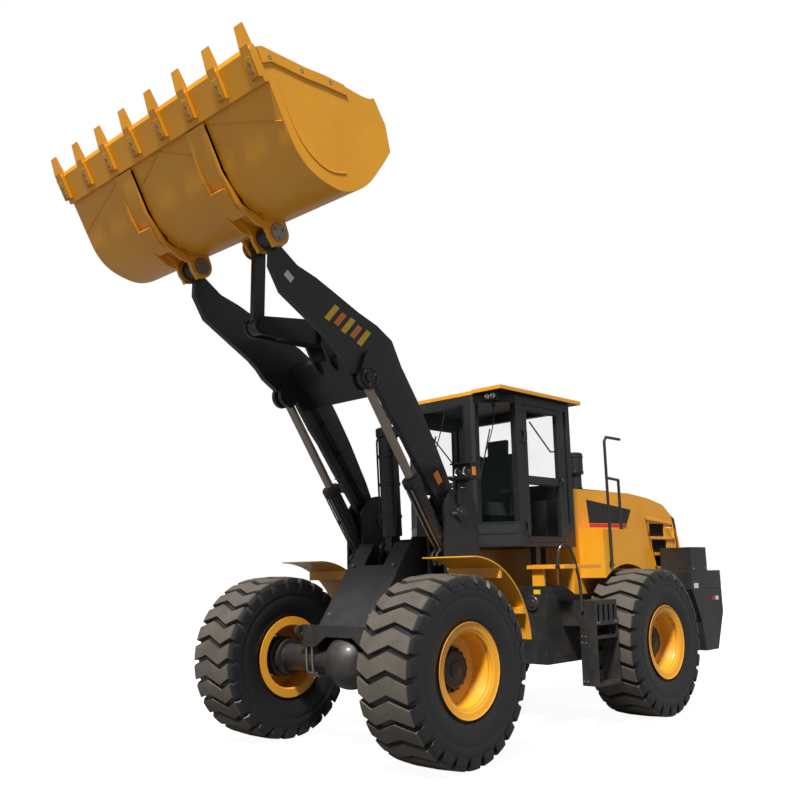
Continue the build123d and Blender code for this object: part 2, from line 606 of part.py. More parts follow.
def cylinder_pair(base, end, axis, radius, rod_radius, length, eye, base_pin, heel, shortest):
    """Barrel and rod of a hydraulic cylinder. axis is the direction of both pins, eye is
    (radius, width), heel is where the round barrel begins, and shortest the closed length."""
    base, end, axis = Vector(*base), Vector(*end), Vector(*axis)
    total = (end - base).length
    eye_radius, eye_width = eye
    plane = Plane(origin=base, x_dir=axis, z_dir=(end - base).normalized())
    ring = Rot(0, 90, 0) * Cylinder(eye_radius, eye_width)
    barrel = Pos(0, 0, (length + heel) / 2) * Cylinder(radius, length - heel)
    barrel += Pos(0, 0, length - 40) * Cylinder(radius + 8, 80)
    barrel += ring + Pos(0, 0, (heel + 10) / 2) * Box(eye_width, 1.6 * eye_radius, heel + 10)
    hollow = heel + 40
    barrel -= Pos(0, 0, (length + hollow) / 2 + 5) * Cylinder(rod_radius + FIT, length - hollow + 10)
    barrel -= Rot(0, 90, 0) * Cylinder(base_pin + FIT, eye_width + 2)
    foot = total - (shortest - hollow - 20)
    neck = 1.7 * eye_radius
    rod = Pos(0, 0, (foot + total - neck) / 2) * Cylinder(rod_radius, total - neck - foot)
    rod += Pos(0, 0, total - neck / 2) * Box(min(eye_width, 2 * rod_radius), 1.7 * rod_radius, neck + 20)
    rod += Pos(0, 0, total) * ring
    return plane * barrel, plane * rod


def lift_cylinder(side):
    y = side * ARM_Y
    base = (LIFT_BASE[0], y, LIFT_BASE[1])
    end = (LIFT_PIN[0], y, LIFT_PIN[1])
    return cylinder_pair(base, end, (0, 1, 0), LIFT_BARREL_RADIUS, LIFT_ROD_RADIUS, LIFT_BARREL_LENGTH, (70, 50),
                         LIFT_BASE_PIN, 85, 1415)


def tilt_cylinder():
    base = (TILT_BASE[0], 0, TILT_BASE[1])
    end = (BELL_REAR[0], 0, BELL_REAR[1])
    return cylinder_pair(base, end, (0, 1, 0), TILT_BARREL_RADIUS, TILT_ROD_RADIUS, TILT_BARREL_LENGTH, (75, 90),
                         PIN_RADIUS, 125, 1370)


def tilt_pin():
    x, z = TILT_BASE
    return capped_pin(x, z, -105, 105)


def steer_cylinder(side):
    base = (STEER_BASE[0], side * STEER_BASE[1], STEER_Z)
    end = (STEER_EYE[0], side * STEER_EYE[1], STEER_Z)
    return cylinder_pair(base, end, (0, 0, 1), STEER_BARREL_RADIUS, STEER_ROD_RADIUS, STEER_BARREL_LENGTH, (38, 60),
                         STEER_PIN_RADIUS, 65, 932)


def cab_plan(inset=0.0):
    """Corner points of the cab in plan, left half, front to rear."""
    return [(CAB_FRONT_X - inset, CAB_FRONT_HALF - inset * 0.6), (DOOR_FRONT_X + 20, CAB_HALF - inset),
            (CAB_REAR_X + inset, CAB_HALF - inset)]


def cab_ring(z0, z1, inset, hollow=0.0):
    left = cab_plan(inset)
    pts = left + [(x, -y) for x, y in reversed(left)]
    body = plan_plate(pts, z0, z1)
    if hollow:
        body -= cab_ring(z0 - 1, z1 + 1, inset + hollow)
    return body


def cab_shell():
    """Floor, lower panels, posts and top ring of the cab."""
    p = CAB_POST
    body = cab_ring(CAB_FLOOR_Z, CAB_FLOOR_Z + 40, 0)
    body += cab_ring(CAB_FLOOR_Z + 40, 2050, 0, 40)
    body += cab_ring(CAB_TOP_Z - 90, CAB_TOP_Z, 0, p)
    for side in (1, -1):
        for x in (DOOR_FRONT_X - 110, DOOR_REAR_X - 80, CAB_REAR_X):
            wide = 130 if x == DOOR_FRONT_X - 110 else 80
            y1 = side * CAB_HALF
            body += block(x, x + wide, y1 - side * p, y1, CAB_FLOOR_Z + 40, CAB_TOP_Z - 50)
        (xf, yf), (xc, yc), _ = cab_plan()
        post = plan_plate([(xf, yf), (xf, yf - 90), (xf - 60, yf - 90), (xf - 100, yf + 30), (xf - 30, yf + 35)],
                          CAB_FLOOR_Z + 40, CAB_TOP_Z - 50)
        body += post if side > 0 else mirrored(post)
        door_hole = block(DOOR_REAR_X, DOOR_FRONT_X - 110, side * (CAB_HALF - 60), side * (CAB_HALF + 10),
                          CAB_FLOOR_Z + 40, CAB_TOP_Z - 90)
        body -= door_hole
        body += block(-410, -330, side * 630, side * 700, SIDE_BOX_TOP_Z + SEAT, CAB_FLOOR_Z)
        body += block(-800, -720, side * 450, side * 550, BEAM_TOP_Z + SEAT, CAB_FLOOR_Z)
        for z in DOOR_HINGE_LEVELS:
            body += door_knuckle(side, z + 41, z + 80, -1) + door_knuckle(side, z - 80, z - 41, -1)
            body += bar_z(DOOR_HINGE_X, side * DOOR_HINGE_Y, 6, z - 45, z + 45)
    body += block(CAB_REAR_X, CAB_REAR_X + 40, -CAB_HALF, CAB_HALF, CAB_FLOOR_Z, 2500)
    return body


def door_knuckle(side, z0, z1, toward):
    """Hinge knuckle with its leaf; toward is +1 for the door's leaf and -1 for the post's."""
    y = side * DOOR_HINGE_Y
    leaf = block(DOOR_HINGE_X, DOOR_HINGE_X - toward * 40, side * (CAB_HALF - 3), y, z0, z1)
    if toward > 0:
        leaf = block(DOOR_HINGE_X - 5, DOOR_HINGE_X - 45, side * (CAB_HALF + 1), y + side * 4, z0, z1)
        leaf += block(DOOR_HINGE_X - 15, DOOR_HINGE_X - 45, side * (CAB_HALF - 3), y, z0, z1)
    return leaf + bar_z(DOOR_HINGE_X, y, 11, z0, z1)


def cab_roof():
    x0, x1 = -1139, 335
    slab = block(x0, x1, -834, 834, ROOF_Z, ROOF_Z + ROOF_THICKNESS)
    slab -= block(x1 - 40, x1 + 1, -450, 450, ROOF_Z - 1, ROOF_Z + ROOF_THICKNESS + 1)
    slab += block(CAB_REAR_X, CAB_FRONT_X - 40, -400, 400, CAB_TOP_Z + SEAT, ROOF_Z)
    return slab


def cab_glass():
    """Windscreen, corner panes, rear quarter panes and rear window."""
    z0, z1 = 2050 + SEAT, CAB_TOP_Z - 90 - SEAT
    inset = 12
    panes = [block(CAB_FRONT_X - inset - GLASS, CAB_FRONT_X - inset, -(CAB_FRONT_HALF - 92), CAB_FRONT_HALF - 92, z0, z1)]
    (xf, yf), (xc, yc), _ = cab_plan()
    dx, dy = xc - xf, yc - yf
    length = math.hypot(dx, dy)
    ux, uy = dx / length, dy / length
    nx, ny = -uy, ux
    a, b = 62.0, length - 26.0
    for side in (1, -1):
        pts = [(xf + ux * a + nx * 12, yf + uy * a + ny * 12), (xf + ux * b + nx * 12, yf + uy * b + ny * 12),
               (xf + ux * b + nx * 20, yf + uy * b + ny * 20), (xf + ux * a + nx * 20, yf + uy * a + ny * 20)]
        pane = plan_plate(pts, z0, z1)
        panes.append(pane if side > 0 else mirrored(pane))
        panes.append(block(CAB_REAR_X + 80 + SEAT, DOOR_REAR_X - 80 - SEAT, side * (CAB_HALF - 20), side * (CAB_HALF - 12),
                           z0, z1))
    panes.append(block(CAB_REAR_X + 12, CAB_REAR_X + 20, -(CAB_HALF - CAB_POST - SEAT), CAB_HALF - CAB_POST - SEAT,
                       2500 + SEAT, z1))
    return Compound([s for pane in panes for s in pane.solids()])


def door(side):
    """Door frame with its middle rail. The hinge line is at the front post."""
    x0, x1 = DOOR_REAR_X + GAP, DOOR_FRONT_X - 110 - GAP
    y0, y1 = side * (CAB_HALF - 50), side * CAB_HALF
    z0, z1 = CAB_FLOOR_Z + 40 + GAP, CAB_TOP_Z - 90 - GAP
    frame = block(x0, x1, y0, y1, z0, z1)
    frame -= block(x0 + 50, x1 - 50, y0 - side * 1, y1 + side * 1, 2520, z1 - 55)
    frame -= block(x0 + 50, x1 - 50, y0 - side * 1, y1 + side * 1, z0 + 50, 2450)
    for z in DOOR_HINGE_LEVELS:
        frame += door_knuckle(side, z - 40, z + 40, 1)
        frame -= bar_z(DOOR_HINGE_X, side * DOOR_HINGE_Y, 6 + FIT, z - 50, z + 50)
    return frame


def door_glass(side):
    x0, x1 = DOOR_REAR_X + GAP, DOOR_FRONT_X - 110 - GAP
    z0, z1 = CAB_FLOOR_Z + 40 + GAP, CAB_TOP_Z - 90 - GAP
    ya, yb = side * (CAB_HALF - 30), side * (CAB_HALF - 22)
    upper = block(x0 + 50 + SEAT, x1 - 50 - SEAT, ya, yb, 2520 + SEAT, z1 - 55 - SEAT)
    lower = block(x0 + 50 + SEAT, x1 - 50 - SEAT, ya, yb, z0 + 50 + SEAT, 2450 - SEAT)
    return Compound([*upper.solids(), *lower.solids()])


def seat():
    floor = CAB_FLOOR_Z + 40 + SEAT
    body = block(-560, -260, -170, 170, floor, 2150) + block(-640, -120, -260, 260, 2150, 2290)
    body += side_plate([(-640, 2290), (-520, 2290), (-620, 2850), (-720, 2850)], -240, 240)
    body += side_plate([(-640, 2850), (-690, 2850), (-700, 3020), (-640, 3020)], -130, 130)
    return body


def steering_column():
    floor = CAB_FLOOR_Z + 40 + SEAT
    body = block(120, 220, -80, 80, floor, 2100)
    body += rod_between((150, 0, 2080), (50, 0, 2500), 30)
    plane = Plane(origin=(50, 0, 2500), z_dir=(-100, 0, 420))
    body += plane * Torus(190, 16)
    body += plane * Box(380, 30, 14) + plane * Box(30, 380, 14)
    return body


def hood():
    """Engine hood: a hollow shell open below, with sloping rear."""
    x0, x1 = HOOD_FRONT_X, HOOD_REAR_X
    z0 = HOOD_BOTTOM_Z
    side = [(x0, z0), (x0, HOOD_SHOULDER_Z), (-2324, 2452), (-2786, 2414), (-3170, 2345), (-3450, 2170), (-3560, 1728),
            (x1, z0)]
    shell = side_plate(side, -HOOD_HALF, HOOD_HALF)
    t = HOOD_WALL
    inner = [(x0 - t, z0 - 10), (x0 - t, HOOD_SHOULDER_Z - t), (-2324, 2452 - t), (-2786, 2414 - t), (-3160, 2345 - t),
             (-3430, 2170), (-3535, 1728), (x1 + t, z0 - 10)]
    shell -= side_plate(inner, -HOOD_HALF + t, HOOD_HALF - t)
    for i in range(3):
        xc = -2975 - i * 45
        z = 2020 - i * 200
        shell -= block(xc - 190, xc + 190, -HOOD_HALF - 10, HOOD_HALF + 10, z - 80, z + 80)
    shell += block(-2250, x0 - 40, -430, 430, HOOD_SHOULDER_Z, 2495)
    return shell


def engine_block():
    return block(-2650, -1500, -380, 380, BEAM_TOP_Z + SEAT, 2250)


def counterweight():
    """Cast tail weight that wraps the end of the frame, with a box on each shoulder."""
    profile = [(-2900, TAIL_TOP_Z), (-2900, 1290), (-3100, 900), (-3150, 560), (-3480, 560), (TAIL_X, 1000),
               (TAIL_X, TAIL_TOP_Z)]
    body = side_plate(profile, -TAIL_HALF, TAIL_HALF)
    inner = TAIL_X + TAIL_PLATE - SEAT
    body -= block(inner, -2000, -HOOD_HALF - 20, HOOD_HALF + 20, 400, 1600)
    body -= block(TAIL_X - 1, inner + 1, -TOW_NOTCH_HALF, TOW_NOTCH_HALF, TOW_PIN_Z - 100, TOW_PIN_Z + 100)
    body -= block(TAIL_X + 25, inner + 1, -TOW_WELL_HALF, TOW_WELL_HALF, TOW_PIN_Z + 99, TAIL_TOP_Z + 1)
    for side in (1, -1):
        body += block(-3340, -2920, side * 730, side * TAIL_HALF, TAIL_TOP_Z, 1795)
    wide = TOW_NOTCH_HALF - SEAT
    clevis = block(TAIL_X, TAIL_X + 130, -wide, wide, TOW_PIN_Z - 50, TOW_PIN_Z + 50)
    clevis -= block(TAIL_X - 1, TAIL_X + 105, -160, 160, TOW_PIN_Z - 25, TOW_PIN_Z + 25)
    clevis -= bar_z(TAIL_X + 65, 0, TOW_PIN_RADIUS, TOW_PIN_Z - 60, TOW_PIN_Z + 60)
    return Compound([*body.solids(), *clevis.solids()])


def platforms():
    slab = block(-804, -120, 724, 1176, 1570, 1608)
    for x in (-430, -190):
        slab += block(x, x + 30, 760, 900, SIDE_BOX_TOP_Z + SEAT, 1580)
    return both_sides(slab)


def rear_fenders():
    """Mudguard box over the front of each rear wheel, with an arched underside."""
    y0, y1 = HOOD_HALF + SEAT, 1000
    box = side_plate([(-1165, 1985), (-1185, 1400), (-1560, 1400), (-2050, 1560), (-2050, 1990)], y0, y1)
    box -= bar_y(REAR_AXLE_X, AXLE_Z, TYRE_RADIUS + 55, y0 - 1, y1 + 1)
    box -= side_plate([(-1205, 1960), (-1230, 1200), (-2030, 1200), (-2030, 1965)], y0 - 1, y1 - 25)
    return both_sides(box)


def side_boxes():
    left = side_plate([(-120, 1400), (-120, 640), (-820, 640), (-820, 1230), (-560, 1360), (-440, SIDE_BOX_TOP_Z)],
                      SIDE_BOX_INNER_Y, SIDE_BOX_OUTER_Y)
    return both_sides(left)


def ladders():
    """Hanging steps: slotted outer plate over two treads between side straps."""
    x0 = REAR_AXLE_X + TYRE_RADIUS + LADDER_GAP
    x1, y0, y1 = x0 + LADDER_LENGTH, 1130, 1320
    body = block(x0, x1, y1 - 12, y1, 1010, 1254)
    for x in (x0 + 60, x0 + 155, x0 + 250, x0 + 345):
        body -= block(x - 22, x + 22, y1 - 13, y1 + 1, 1060, 1190)
        for z in (1060, 1190):
            body -= bar_y(x, z, 22, y1 - 13, y1 + 1)
    for x in (x0, x1 - 12):
        body += block(x, x + 12, y0, y1, 430, 1250)
    body += block(x0, x1, y0, y1, 1230, 1254)
    for z in (430, 880):
        tread = block(x0, x1, y0, y1, z, z + 30)
        for k in range(4):
            xs = x0 + 65 + k * 92
            tread -= block(xs - 28, xs + 28, y0 + 35, y1 - 35, z - 1, z + 31)
        body += tread
    body += block(x1 - 12, x1, 930 + SEAT, y0, 1000, 1250) + block(x0, x0 + 12, 930 + SEAT, y0, 1000, 1230)
    return both_sides(body)


def handrails():
    r = 16
    y = 1000 + r + SEAT
    run = [(-1290, y, 1590), (-1290, y, 2960), (-1330, y, 3010), (-1620, y, 3010)]
    body = None
    for a, b in zip(run, run[1:]):
        piece = rod_between(a, b, r) + Pos(*b) * Sphere(r)
        body = piece if body is None else body + piece
    body += rod_between((-1290, y, 2550), (-1640, y - 60, 2550), r) + Pos(-1640, y - 60, 2550) * Sphere(r)
    body += rod_between((-1640, y - 60, 2550), (-1640, y - 60, 1985 + 6), r)
    return both_sides(body)


def precleaner():
    body = bar_z(-1860, 250, 70, 2495 + SEAT, 2690) + bar_z(-1860, 250, 95, 2690, 2935)
    return body


def build_nodes():
    nodes = {
        "rear_chassis": rear_chassis(),
        "engine_block": engine_block(),
        "hood": hood(),
        "counterweight": counterweight(),
        "cab_shell": cab_shell(),
        "cab_roof": cab_roof(),
        "cab_glass": cab_glass(),
        "seat": seat(),
        "steering_column": steering_column(),
        "platforms": platforms(),
        "rear_fenders": rear_fenders(),
        "side_boxes": side_boxes(),
        "ladders": ladders(),
        "handrails": handrails(),
        "precleaner": precleaner(),
        "rear_axle": rear_axle(),
        "front_frame": front_frame(),
        "front_cover": front_cover(),
        "front_axle": front_axle(),
        "front_fenders": front_fenders(),
        "headlamps": headlamps(),
        "boom": boom(),
        "bellcrank": bellcrank(),
        "bellcrank_pin": bellcrank_pin(),
        "link": link(),
        "link_pin": link_pin(),
        "bucket_pins": bucket_pins(),
        "bucket_shell": bucket_shell(),
        "bucket_edge": bucket_edge(),
        "tilt_pin": tilt_pin(),
    }
    nodes["tilt_barrel"], nodes["tilt_rod"] = tilt_cylinder()
    tyre_shape, rim_shape = tyre(), wheel_rim()
    for name, side in (("left", 1), ("right", -1)):
        nodes["lift_barrel_" + name], nodes["lift_rod_" + name] = lift_cylinder(side)
        nodes["steer_barrel_" + name], nodes["steer_rod_" + name] = steer_cylinder(side)
        nodes["door_" + name] = door(side)
        nodes["door_glass_" + name] = door_glass(side)
        for end, x in (("front", FRONT_AXLE_X), ("rear", REAR_AXLE_X)):
            nodes["tyre_" + end + "_" + name] = wheel_at(x, side, tyre_shape)
            nodes["rim_" + end + "_" + name] = wheel_at(x, side, rim_shape)
    return nodes


def frame_shift(nodes):
    """Move that stands the box of the whole model centred on the origin."""
    low_x = min(s.bounding_box().min.X for s in nodes.values())
    high_x = max(s.bounding_box().max.X for s in nodes.values())
    return -(low_x + high_x) / 2


def main():
    os.makedirs("parts", exist_ok=True)
    nodes = build_nodes()
    shift = frame_shift(nodes)
    rise = TYRE_RADIUS - AXLE_Z
    for name, shape in nodes.items():
        export_step(Pos(shift, 0, rise) * shape, "parts/" + name + ".step")
        print(name, "written")
    print("shift along X", round(shift, 3))


if __name__ == "__main__":
    main()
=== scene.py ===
import math
import json
import bmesh
import bpy
from mathutils import Matrix, Vector

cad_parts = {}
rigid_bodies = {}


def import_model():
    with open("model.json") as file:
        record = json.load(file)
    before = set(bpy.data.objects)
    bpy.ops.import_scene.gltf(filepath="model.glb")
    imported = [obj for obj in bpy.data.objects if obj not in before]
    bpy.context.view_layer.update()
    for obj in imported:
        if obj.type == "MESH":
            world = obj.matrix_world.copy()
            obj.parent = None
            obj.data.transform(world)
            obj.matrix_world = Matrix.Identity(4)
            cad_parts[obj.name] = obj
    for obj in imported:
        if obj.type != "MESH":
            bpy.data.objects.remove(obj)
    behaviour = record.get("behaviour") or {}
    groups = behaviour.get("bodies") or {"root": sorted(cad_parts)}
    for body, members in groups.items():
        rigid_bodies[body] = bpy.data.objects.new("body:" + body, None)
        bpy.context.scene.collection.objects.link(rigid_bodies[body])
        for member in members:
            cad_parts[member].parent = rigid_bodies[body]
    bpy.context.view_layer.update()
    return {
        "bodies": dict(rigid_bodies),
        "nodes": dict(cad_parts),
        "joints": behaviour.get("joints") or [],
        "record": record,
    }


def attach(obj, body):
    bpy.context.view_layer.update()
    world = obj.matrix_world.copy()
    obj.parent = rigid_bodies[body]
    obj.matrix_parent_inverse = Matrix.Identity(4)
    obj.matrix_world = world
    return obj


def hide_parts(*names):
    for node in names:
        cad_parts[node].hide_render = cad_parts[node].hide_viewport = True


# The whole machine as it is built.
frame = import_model()
NODES = frame["nodes"]


# The studio. A wide pale floor and backdrop, a soft high key light from the machine's
# front left, and the camera low beside the left headlamp with a mild tele lens.
CAMERA_PLACE = (7.2377, 6.2133, 1.5776)
CAMERA_YAW = math.radians(-136.20)
CAMERA_PITCH = math.radians(10.89)
CAMERA_ROLL = math.radians(-1.19)
CAMERA_LENS = 40.04
CAMERA_SENSOR = 36.0
CAMERA_REACH = 200.0
FLOOR_REACH = 60.0
FLOOR_SHADE = (0.17, 0.18)
FLOOR_SHOWN = (0.95, 0.95, 0.95, 1)
KEY_FROM = Vector((0.62, 0.30, 0.95))
KEY_STRENGTH = 5.6
KEY_SPREAD = math.radians(9)
FILL_STRENGTH = 0.33
BACKDROP = 1.0


def aim_camera():
    """Camera turned by heading, then tilt, then roll about its own line of sight."""
    level = math.cos(CAMERA_PITCH)
    ahead = Vector((level * math.cos(CAMERA_YAW), level * math.sin(CAMERA_YAW), math.sin(CAMERA_PITCH)))
    right = Vector((math.sin(CAMERA_YAW), -math.cos(CAMERA_YAW), 0))
    up = right.cross(ahead)
    rolled_right = math.cos(CAMERA_ROLL) * right + math.sin(CAMERA_ROLL) * up
    rolled_up = -math.sin(CAMERA_ROLL) * right + math.cos(CAMERA_ROLL) * up
    data = bpy.data.cameras.new("camera")
    data.lens = CAMERA_LENS
    data.sensor_width = CAMERA_SENSOR
    data.clip_end = CAMERA_REACH
    camera = bpy.data.objects.new("camera", data)
    turn = Matrix((rolled_right, rolled_up, -ahead)).transposed()
    camera.matrix_world = Matrix.Translation(CAMERA_PLACE) @ turn.to_4x4()
    bpy.context.scene.collection.objects.link(camera)
    bpy.context.scene.camera = camera


class Field:
    """A socket of a material, on which plain arithmetic adds its Math nodes."""

    def __init__(self, finish, socket):
        self.finish = finish
        self.socket = socket

    def _math(self, operation, first, second):
        return self.finish.node("ShaderNodeMath", {"operation": operation}, {0: first, 1: second})

    def __add__(self, other):
        return self._math("ADD", self, other)

    def __radd__(self, other):
        return self._math("ADD", other, self)

    def __mul__(self, other):
        return self._math("MULTIPLY", self, other)

    def __rmul__(self, other):
        return self._math("MULTIPLY", other, self)


class Finish:
    """One procedural material: its shader, and the nodes that feed it."""

    def __init__(self, name):
        self.material = bpy.data.materials.new(name)
        self.material.use_nodes = True
        self.tree = self.material.node_tree
        self.shader = next(n for n in self.tree.nodes if n.type == "BSDF_PRINCIPLED")

    def node(self, kind, settings=None, inputs=None, output=0):
        """Adds a node, with its settings first, then the values or links of its sockets."""
        made = self.tree.nodes.new(kind)
        for name, value in (settings or {}).items():
            setattr(made, name, value)
        for name, value in (inputs or {}).items():
            self.feed(made.inputs[name], value)
        return Field(self, made.outputs[output])

    def feed(self, socket, value):
        if isinstance(value, Field):
            self.tree.links.new(value.socket, socket)
        else:
            socket.default_value = value

    def set(self, **values):
        """Sets sockets of the shader by name, with underscores for spaces."""
        for name, value in values.items():
            self.feed(self.shader.inputs[name.replace("_", " ")], value)
        return self

    def place(self):
        return self.node("ShaderNodeTexCoord", output="Object")

    def attribute(self, name):
        return self.node("ShaderNodeAttribute", {"attribute_name": name}, output="Fac")

    def axis(self, vector, name):
        return self.node("ShaderNodeSeparateXYZ", {}, {0: vector}, output=name)

    def noise(self, scale, detail=3.0, rough=0.55):
        return self.node("ShaderNodeTexNoise", {}, {"Vector": self.place(), "Scale": scale, "Detail": detail,
                                                    "Roughness": rough})

    def span(self, value, low, high, to_low=0.0, to_high=1.0):
        """Maps a field from one span to another, held at both ends."""
        return self.node("ShaderNodeMapRange", {}, {0: value, 1: low, 2: high, 3: to_low, 4: to_high})

    def mix(self, first, second, factor):
        return self.node("ShaderNodeMix", {"data_type": "RGBA"}, {0: factor, 6: first, 7: second}, output=2)

    def bump(self, height, strength, distance, edge=None):
        inputs = {"Height": height, "Strength": strength, "Distance": distance}
        if edge:
            inputs["Normal"] = self.node("ShaderNodeBevel", {"samples": 4}, {"Radius": edge})
        return self.set(Normal=self.node("ShaderNodeBump", {}, inputs))


def stage_floor():
    """Pale floor that shows white to the camera but still carries the machine's shadow."""
    finish = Finish("studio_floor")
    path = finish.node("ShaderNodeLightPath", output="Is Camera Ray")
    through = finish.node("ShaderNodeLightPath", output="Is Transmission Ray")
    seen = finish.node("ShaderNodeMath", {"operation": "MINIMUM"}, {0: path + through, 1: 1.0})
    bounce = finish.span(finish.noise(0.4, 1.0), 0.0, 1.0, *FLOOR_SHADE)
    finish.set(Base_Color=finish.mix((0.0, 0.0, 0.0, 1), (1, 1, 1, 1), bounce), Roughness=0.9, Specular_IOR_Level=0.1,
               Emission_Color=finish.mix((0, 0, 0, 1), FLOOR_SHOWN, seen), Emission_Strength=1.0)
    bm = bmesh.new()
    bmesh.ops.create_grid(bm, x_segments=4, y_segments=4, size=FLOOR_REACH)
    mesh = bpy.data.meshes.new("floor")
    bm.to_mesh(mesh)
    floor = bpy.data.objects.new("floor", mesh)
    bpy.context.scene.collection.objects.link(floor)
    mesh.materials.append(finish.material)


def studio_light():
    world = bpy.data.worlds.new("studio")
    bpy.context.scene.world = world
    world.use_nodes = True
    tree = world.node_tree
    back = tree.nodes["Background"]
    path = tree.nodes.new("ShaderNodeLightPath")
    shown = tree.nodes.new("ShaderNodeMath")
    shown.operation = "MAXIMUM"
    tree.links.new(path.outputs["Is Camera Ray"], shown.inputs[0])
    tree.links.new(path.outputs["Is Transmission Ray"], shown.inputs[1])
    strength = tree.nodes.new("ShaderNodeMapRange")
    tree.links.new(shown.outputs[0], strength.inputs[0])
    strength.inputs[3].default_value = FILL_STRENGTH
    strength.inputs[4].default_value = BACKDROP
    tree.links.new(strength.outputs[0], back.inputs[1])
    back.inputs[0].default_value = (1, 1, 1, 1)
    key = bpy.data.lights.new("key", "SUN")
    key.energy = KEY_STRENGTH
    key.angle = KEY_SPREAD
    lamp = bpy.data.objects.new("key", key)
    lamp.rotation_mode = "QUATERNION"
    lamp.rotation_quaternion = (-KEY_FROM).to_track_quat("-Z", "Y")
    bpy.context.scene.collection.objects.link(lamp)


aim_camera()
stage_floor()
studio_light()
bpy.context.scene.view_settings.view_transform = "Standard"


# Hood, cab roof, mudguards, platforms and bucket, of pressed and rolled plate. They are
# sprayed in orange-yellow enamel, faintly uneven, with a thin film of road dust low down.
ENAMEL = (0.86, 0.385, 0.016, 1)
ENAMEL_DEEP = (0.76, 0.31, 0.012, 1)
ROAD_DUST = (0.33, 0.25, 0.17, 1)
DUST_TOP_Z = 2.2
DUST_BOTTOM_Z = 0.2
DUST_SHARE = 0.16
ROUNDED_EDGE = 0.006


def enamel(name, colour, deep, roughness, coat):
    finish = Finish(name)
    broad = finish.noise(1.3, 3.0)
    fine = finish.noise(55.0, 2.0)
    height = finish.axis(finish.place(), "Z")
    cloud = finish.noise(4.0, 6.0, 0.7)
    film = finish.span(height, DUST_TOP_Z, DUST_BOTTOM_Z, 0.0, DUST_SHARE) * finish.span(cloud, 0.35, 0.75)
    base = finish.mix(colour, deep, finish.span(broad, 0.3, 0.7))
    finish.set(Base_Color=finish.mix(base, ROAD_DUST, film), Coat_Weight=coat, Coat_Roughness=0.12,
               Roughness=finish.span(fine, 0.3, 0.7, roughness - 0.05, roughness + 0.07) + film)
    return finish.bump(fine, 0.05, 0.002, ROUNDED_EDGE)


def dress(finish, *names):
    """Gives CAD pieces their finish."""
    for name in names:
        mesh = NODES[name].data
        mesh.materials.clear()
        mesh.materials.append(finish.material)
        for face in mesh.polygons:
            face.material_index = 0


YELLOW = enamel("yellow_enamel", ENAMEL, ENAMEL_DEEP, 0.38, 0.2)
SIDES = ("left", "right")
ACROSS = (1, -1)
WHEELS = [(end, side) for end in ("front", "rear") for side in SIDES]
dress(YELLOW, "hood", "cab_roof", "platforms", "rear_fenders", "front_fenders", "bucket_shell", "bucket_edge")


# Boom, frames, bellcrank, cab frame, boxes, steps and rails, of thick plate and tube cut and
# welded together. A satin charcoal topcoat covers them, a little uneven over the steel.
CHARCOAL = (0.016, 0.0175, 0.019, 1)
CHARCOAL_DEEP = (0.010, 0.011, 0.0125, 1)
GREY = enamel("charcoal_enamel", CHARCOAL, CHARCOAL_DEEP, 0.42, 0.15)
dress(GREY, "boom", "front_frame", "front_cover", "rear_chassis", "bellcrank", "link", "cab_shell", "side_boxes",
      "ladders", "handrails", "counterweight", "front_axle", "rear_axle", "engine_block", "precleaner", "headlamps",
      "steering_column", "seat", "tilt_barrel", *["lift_barrel_" + s for s in SIDES],
      *["steer_barrel_" + s for s in SIDES], *["door_" + s for s in SIDES])


# Cab panes of lightly tinted safety glass, flat and clear, set back in the cab's posts and
# in the two doors. The tint wanders a little, as it does in toughened glass.
GLASS_TINT = (0.010, 0.022, 0.022, 1)
GLASS_TINT_PALE = (0.016, 0.030, 0.030, 1)
GLASS_COVER = (0.03, 0.05)


def tinted_glass():
    finish = Finish("tinted_glass")
    tint = finish.noise(3.0, 2.0)
    finish.set(Base_Color=finish.mix(GLASS_TINT, GLASS_TINT_PALE, tint), Roughness=0.03, IOR=1.5,
               Alpha=finish.span(tint, 0.3, 0.7, *GLASS_COVER))
    return finish


GLASS = tinted_glass()
dress(GLASS, "cab_glass", *["door_glass_" + s for s in SIDES])


# Hydraulic rods and the linkage's pins: hard chrome over ground bar, which looks bronze-grey
# under its film of oil.
CHROME_OILED = (0.30, 0.25, 0.20, 1)
CHROME_WIPED = (0.36, 0.31, 0.26, 1)


def rod_chrome():
    finish = Finish("rod_chrome")
    streak = finish.noise(30.0, 2.0)
    finish.set(Base_Color=finish.mix(CHROME_OILED, CHROME_WIPED, streak), Metallic=0.85,
               Roughness=finish.span(streak, 0.3, 0.7, 0.25, 0.35))
    return finish


CHROME = rod_chrome()
dress(CHROME, "tilt_rod", "bucket_pins", "link_pin", "bellcrank_pin", "tilt_pin", *["lift_rod_" + s for s in SIDES],
      *["steer_rod_" + s for s in SIDES])


# Wheels. Tyres of black rubber with moulded zigzag lugs, dusty where they meet the road,
# sit on deep yellow rims of rolled steel, each round a dark hub with its ring of nuts.
HINGE_X = -0.179987
WHEEL_X = {"front": HINGE_X + 1.65, "rear": HINGE_X - 1.65}
WHEEL_Y = 1.14
WHEEL_Z = 0.775
LUG_COUNT = 26
FULL_TURN = 2 * math.pi


def place(x, y, z):
    """Point in metres, from millimetres measured about the steering hinge on the ground."""
    return Vector((x / 1000 + HINGE_X, y / 1000, z / 1000))


def piece(bm, name, body, *finishes, edge=0.0):
    """Mesh object from bm that moves with a body, its edges rounded by a bevel when edge is given."""
    bmesh.ops.recalc_face_normals(bm, faces=bm.faces)
    mesh = bpy.data.meshes.new(name)
    bm.to_mesh(mesh)
    bm.free()
    finished(mesh, name, body, *finishes, edge=edge)


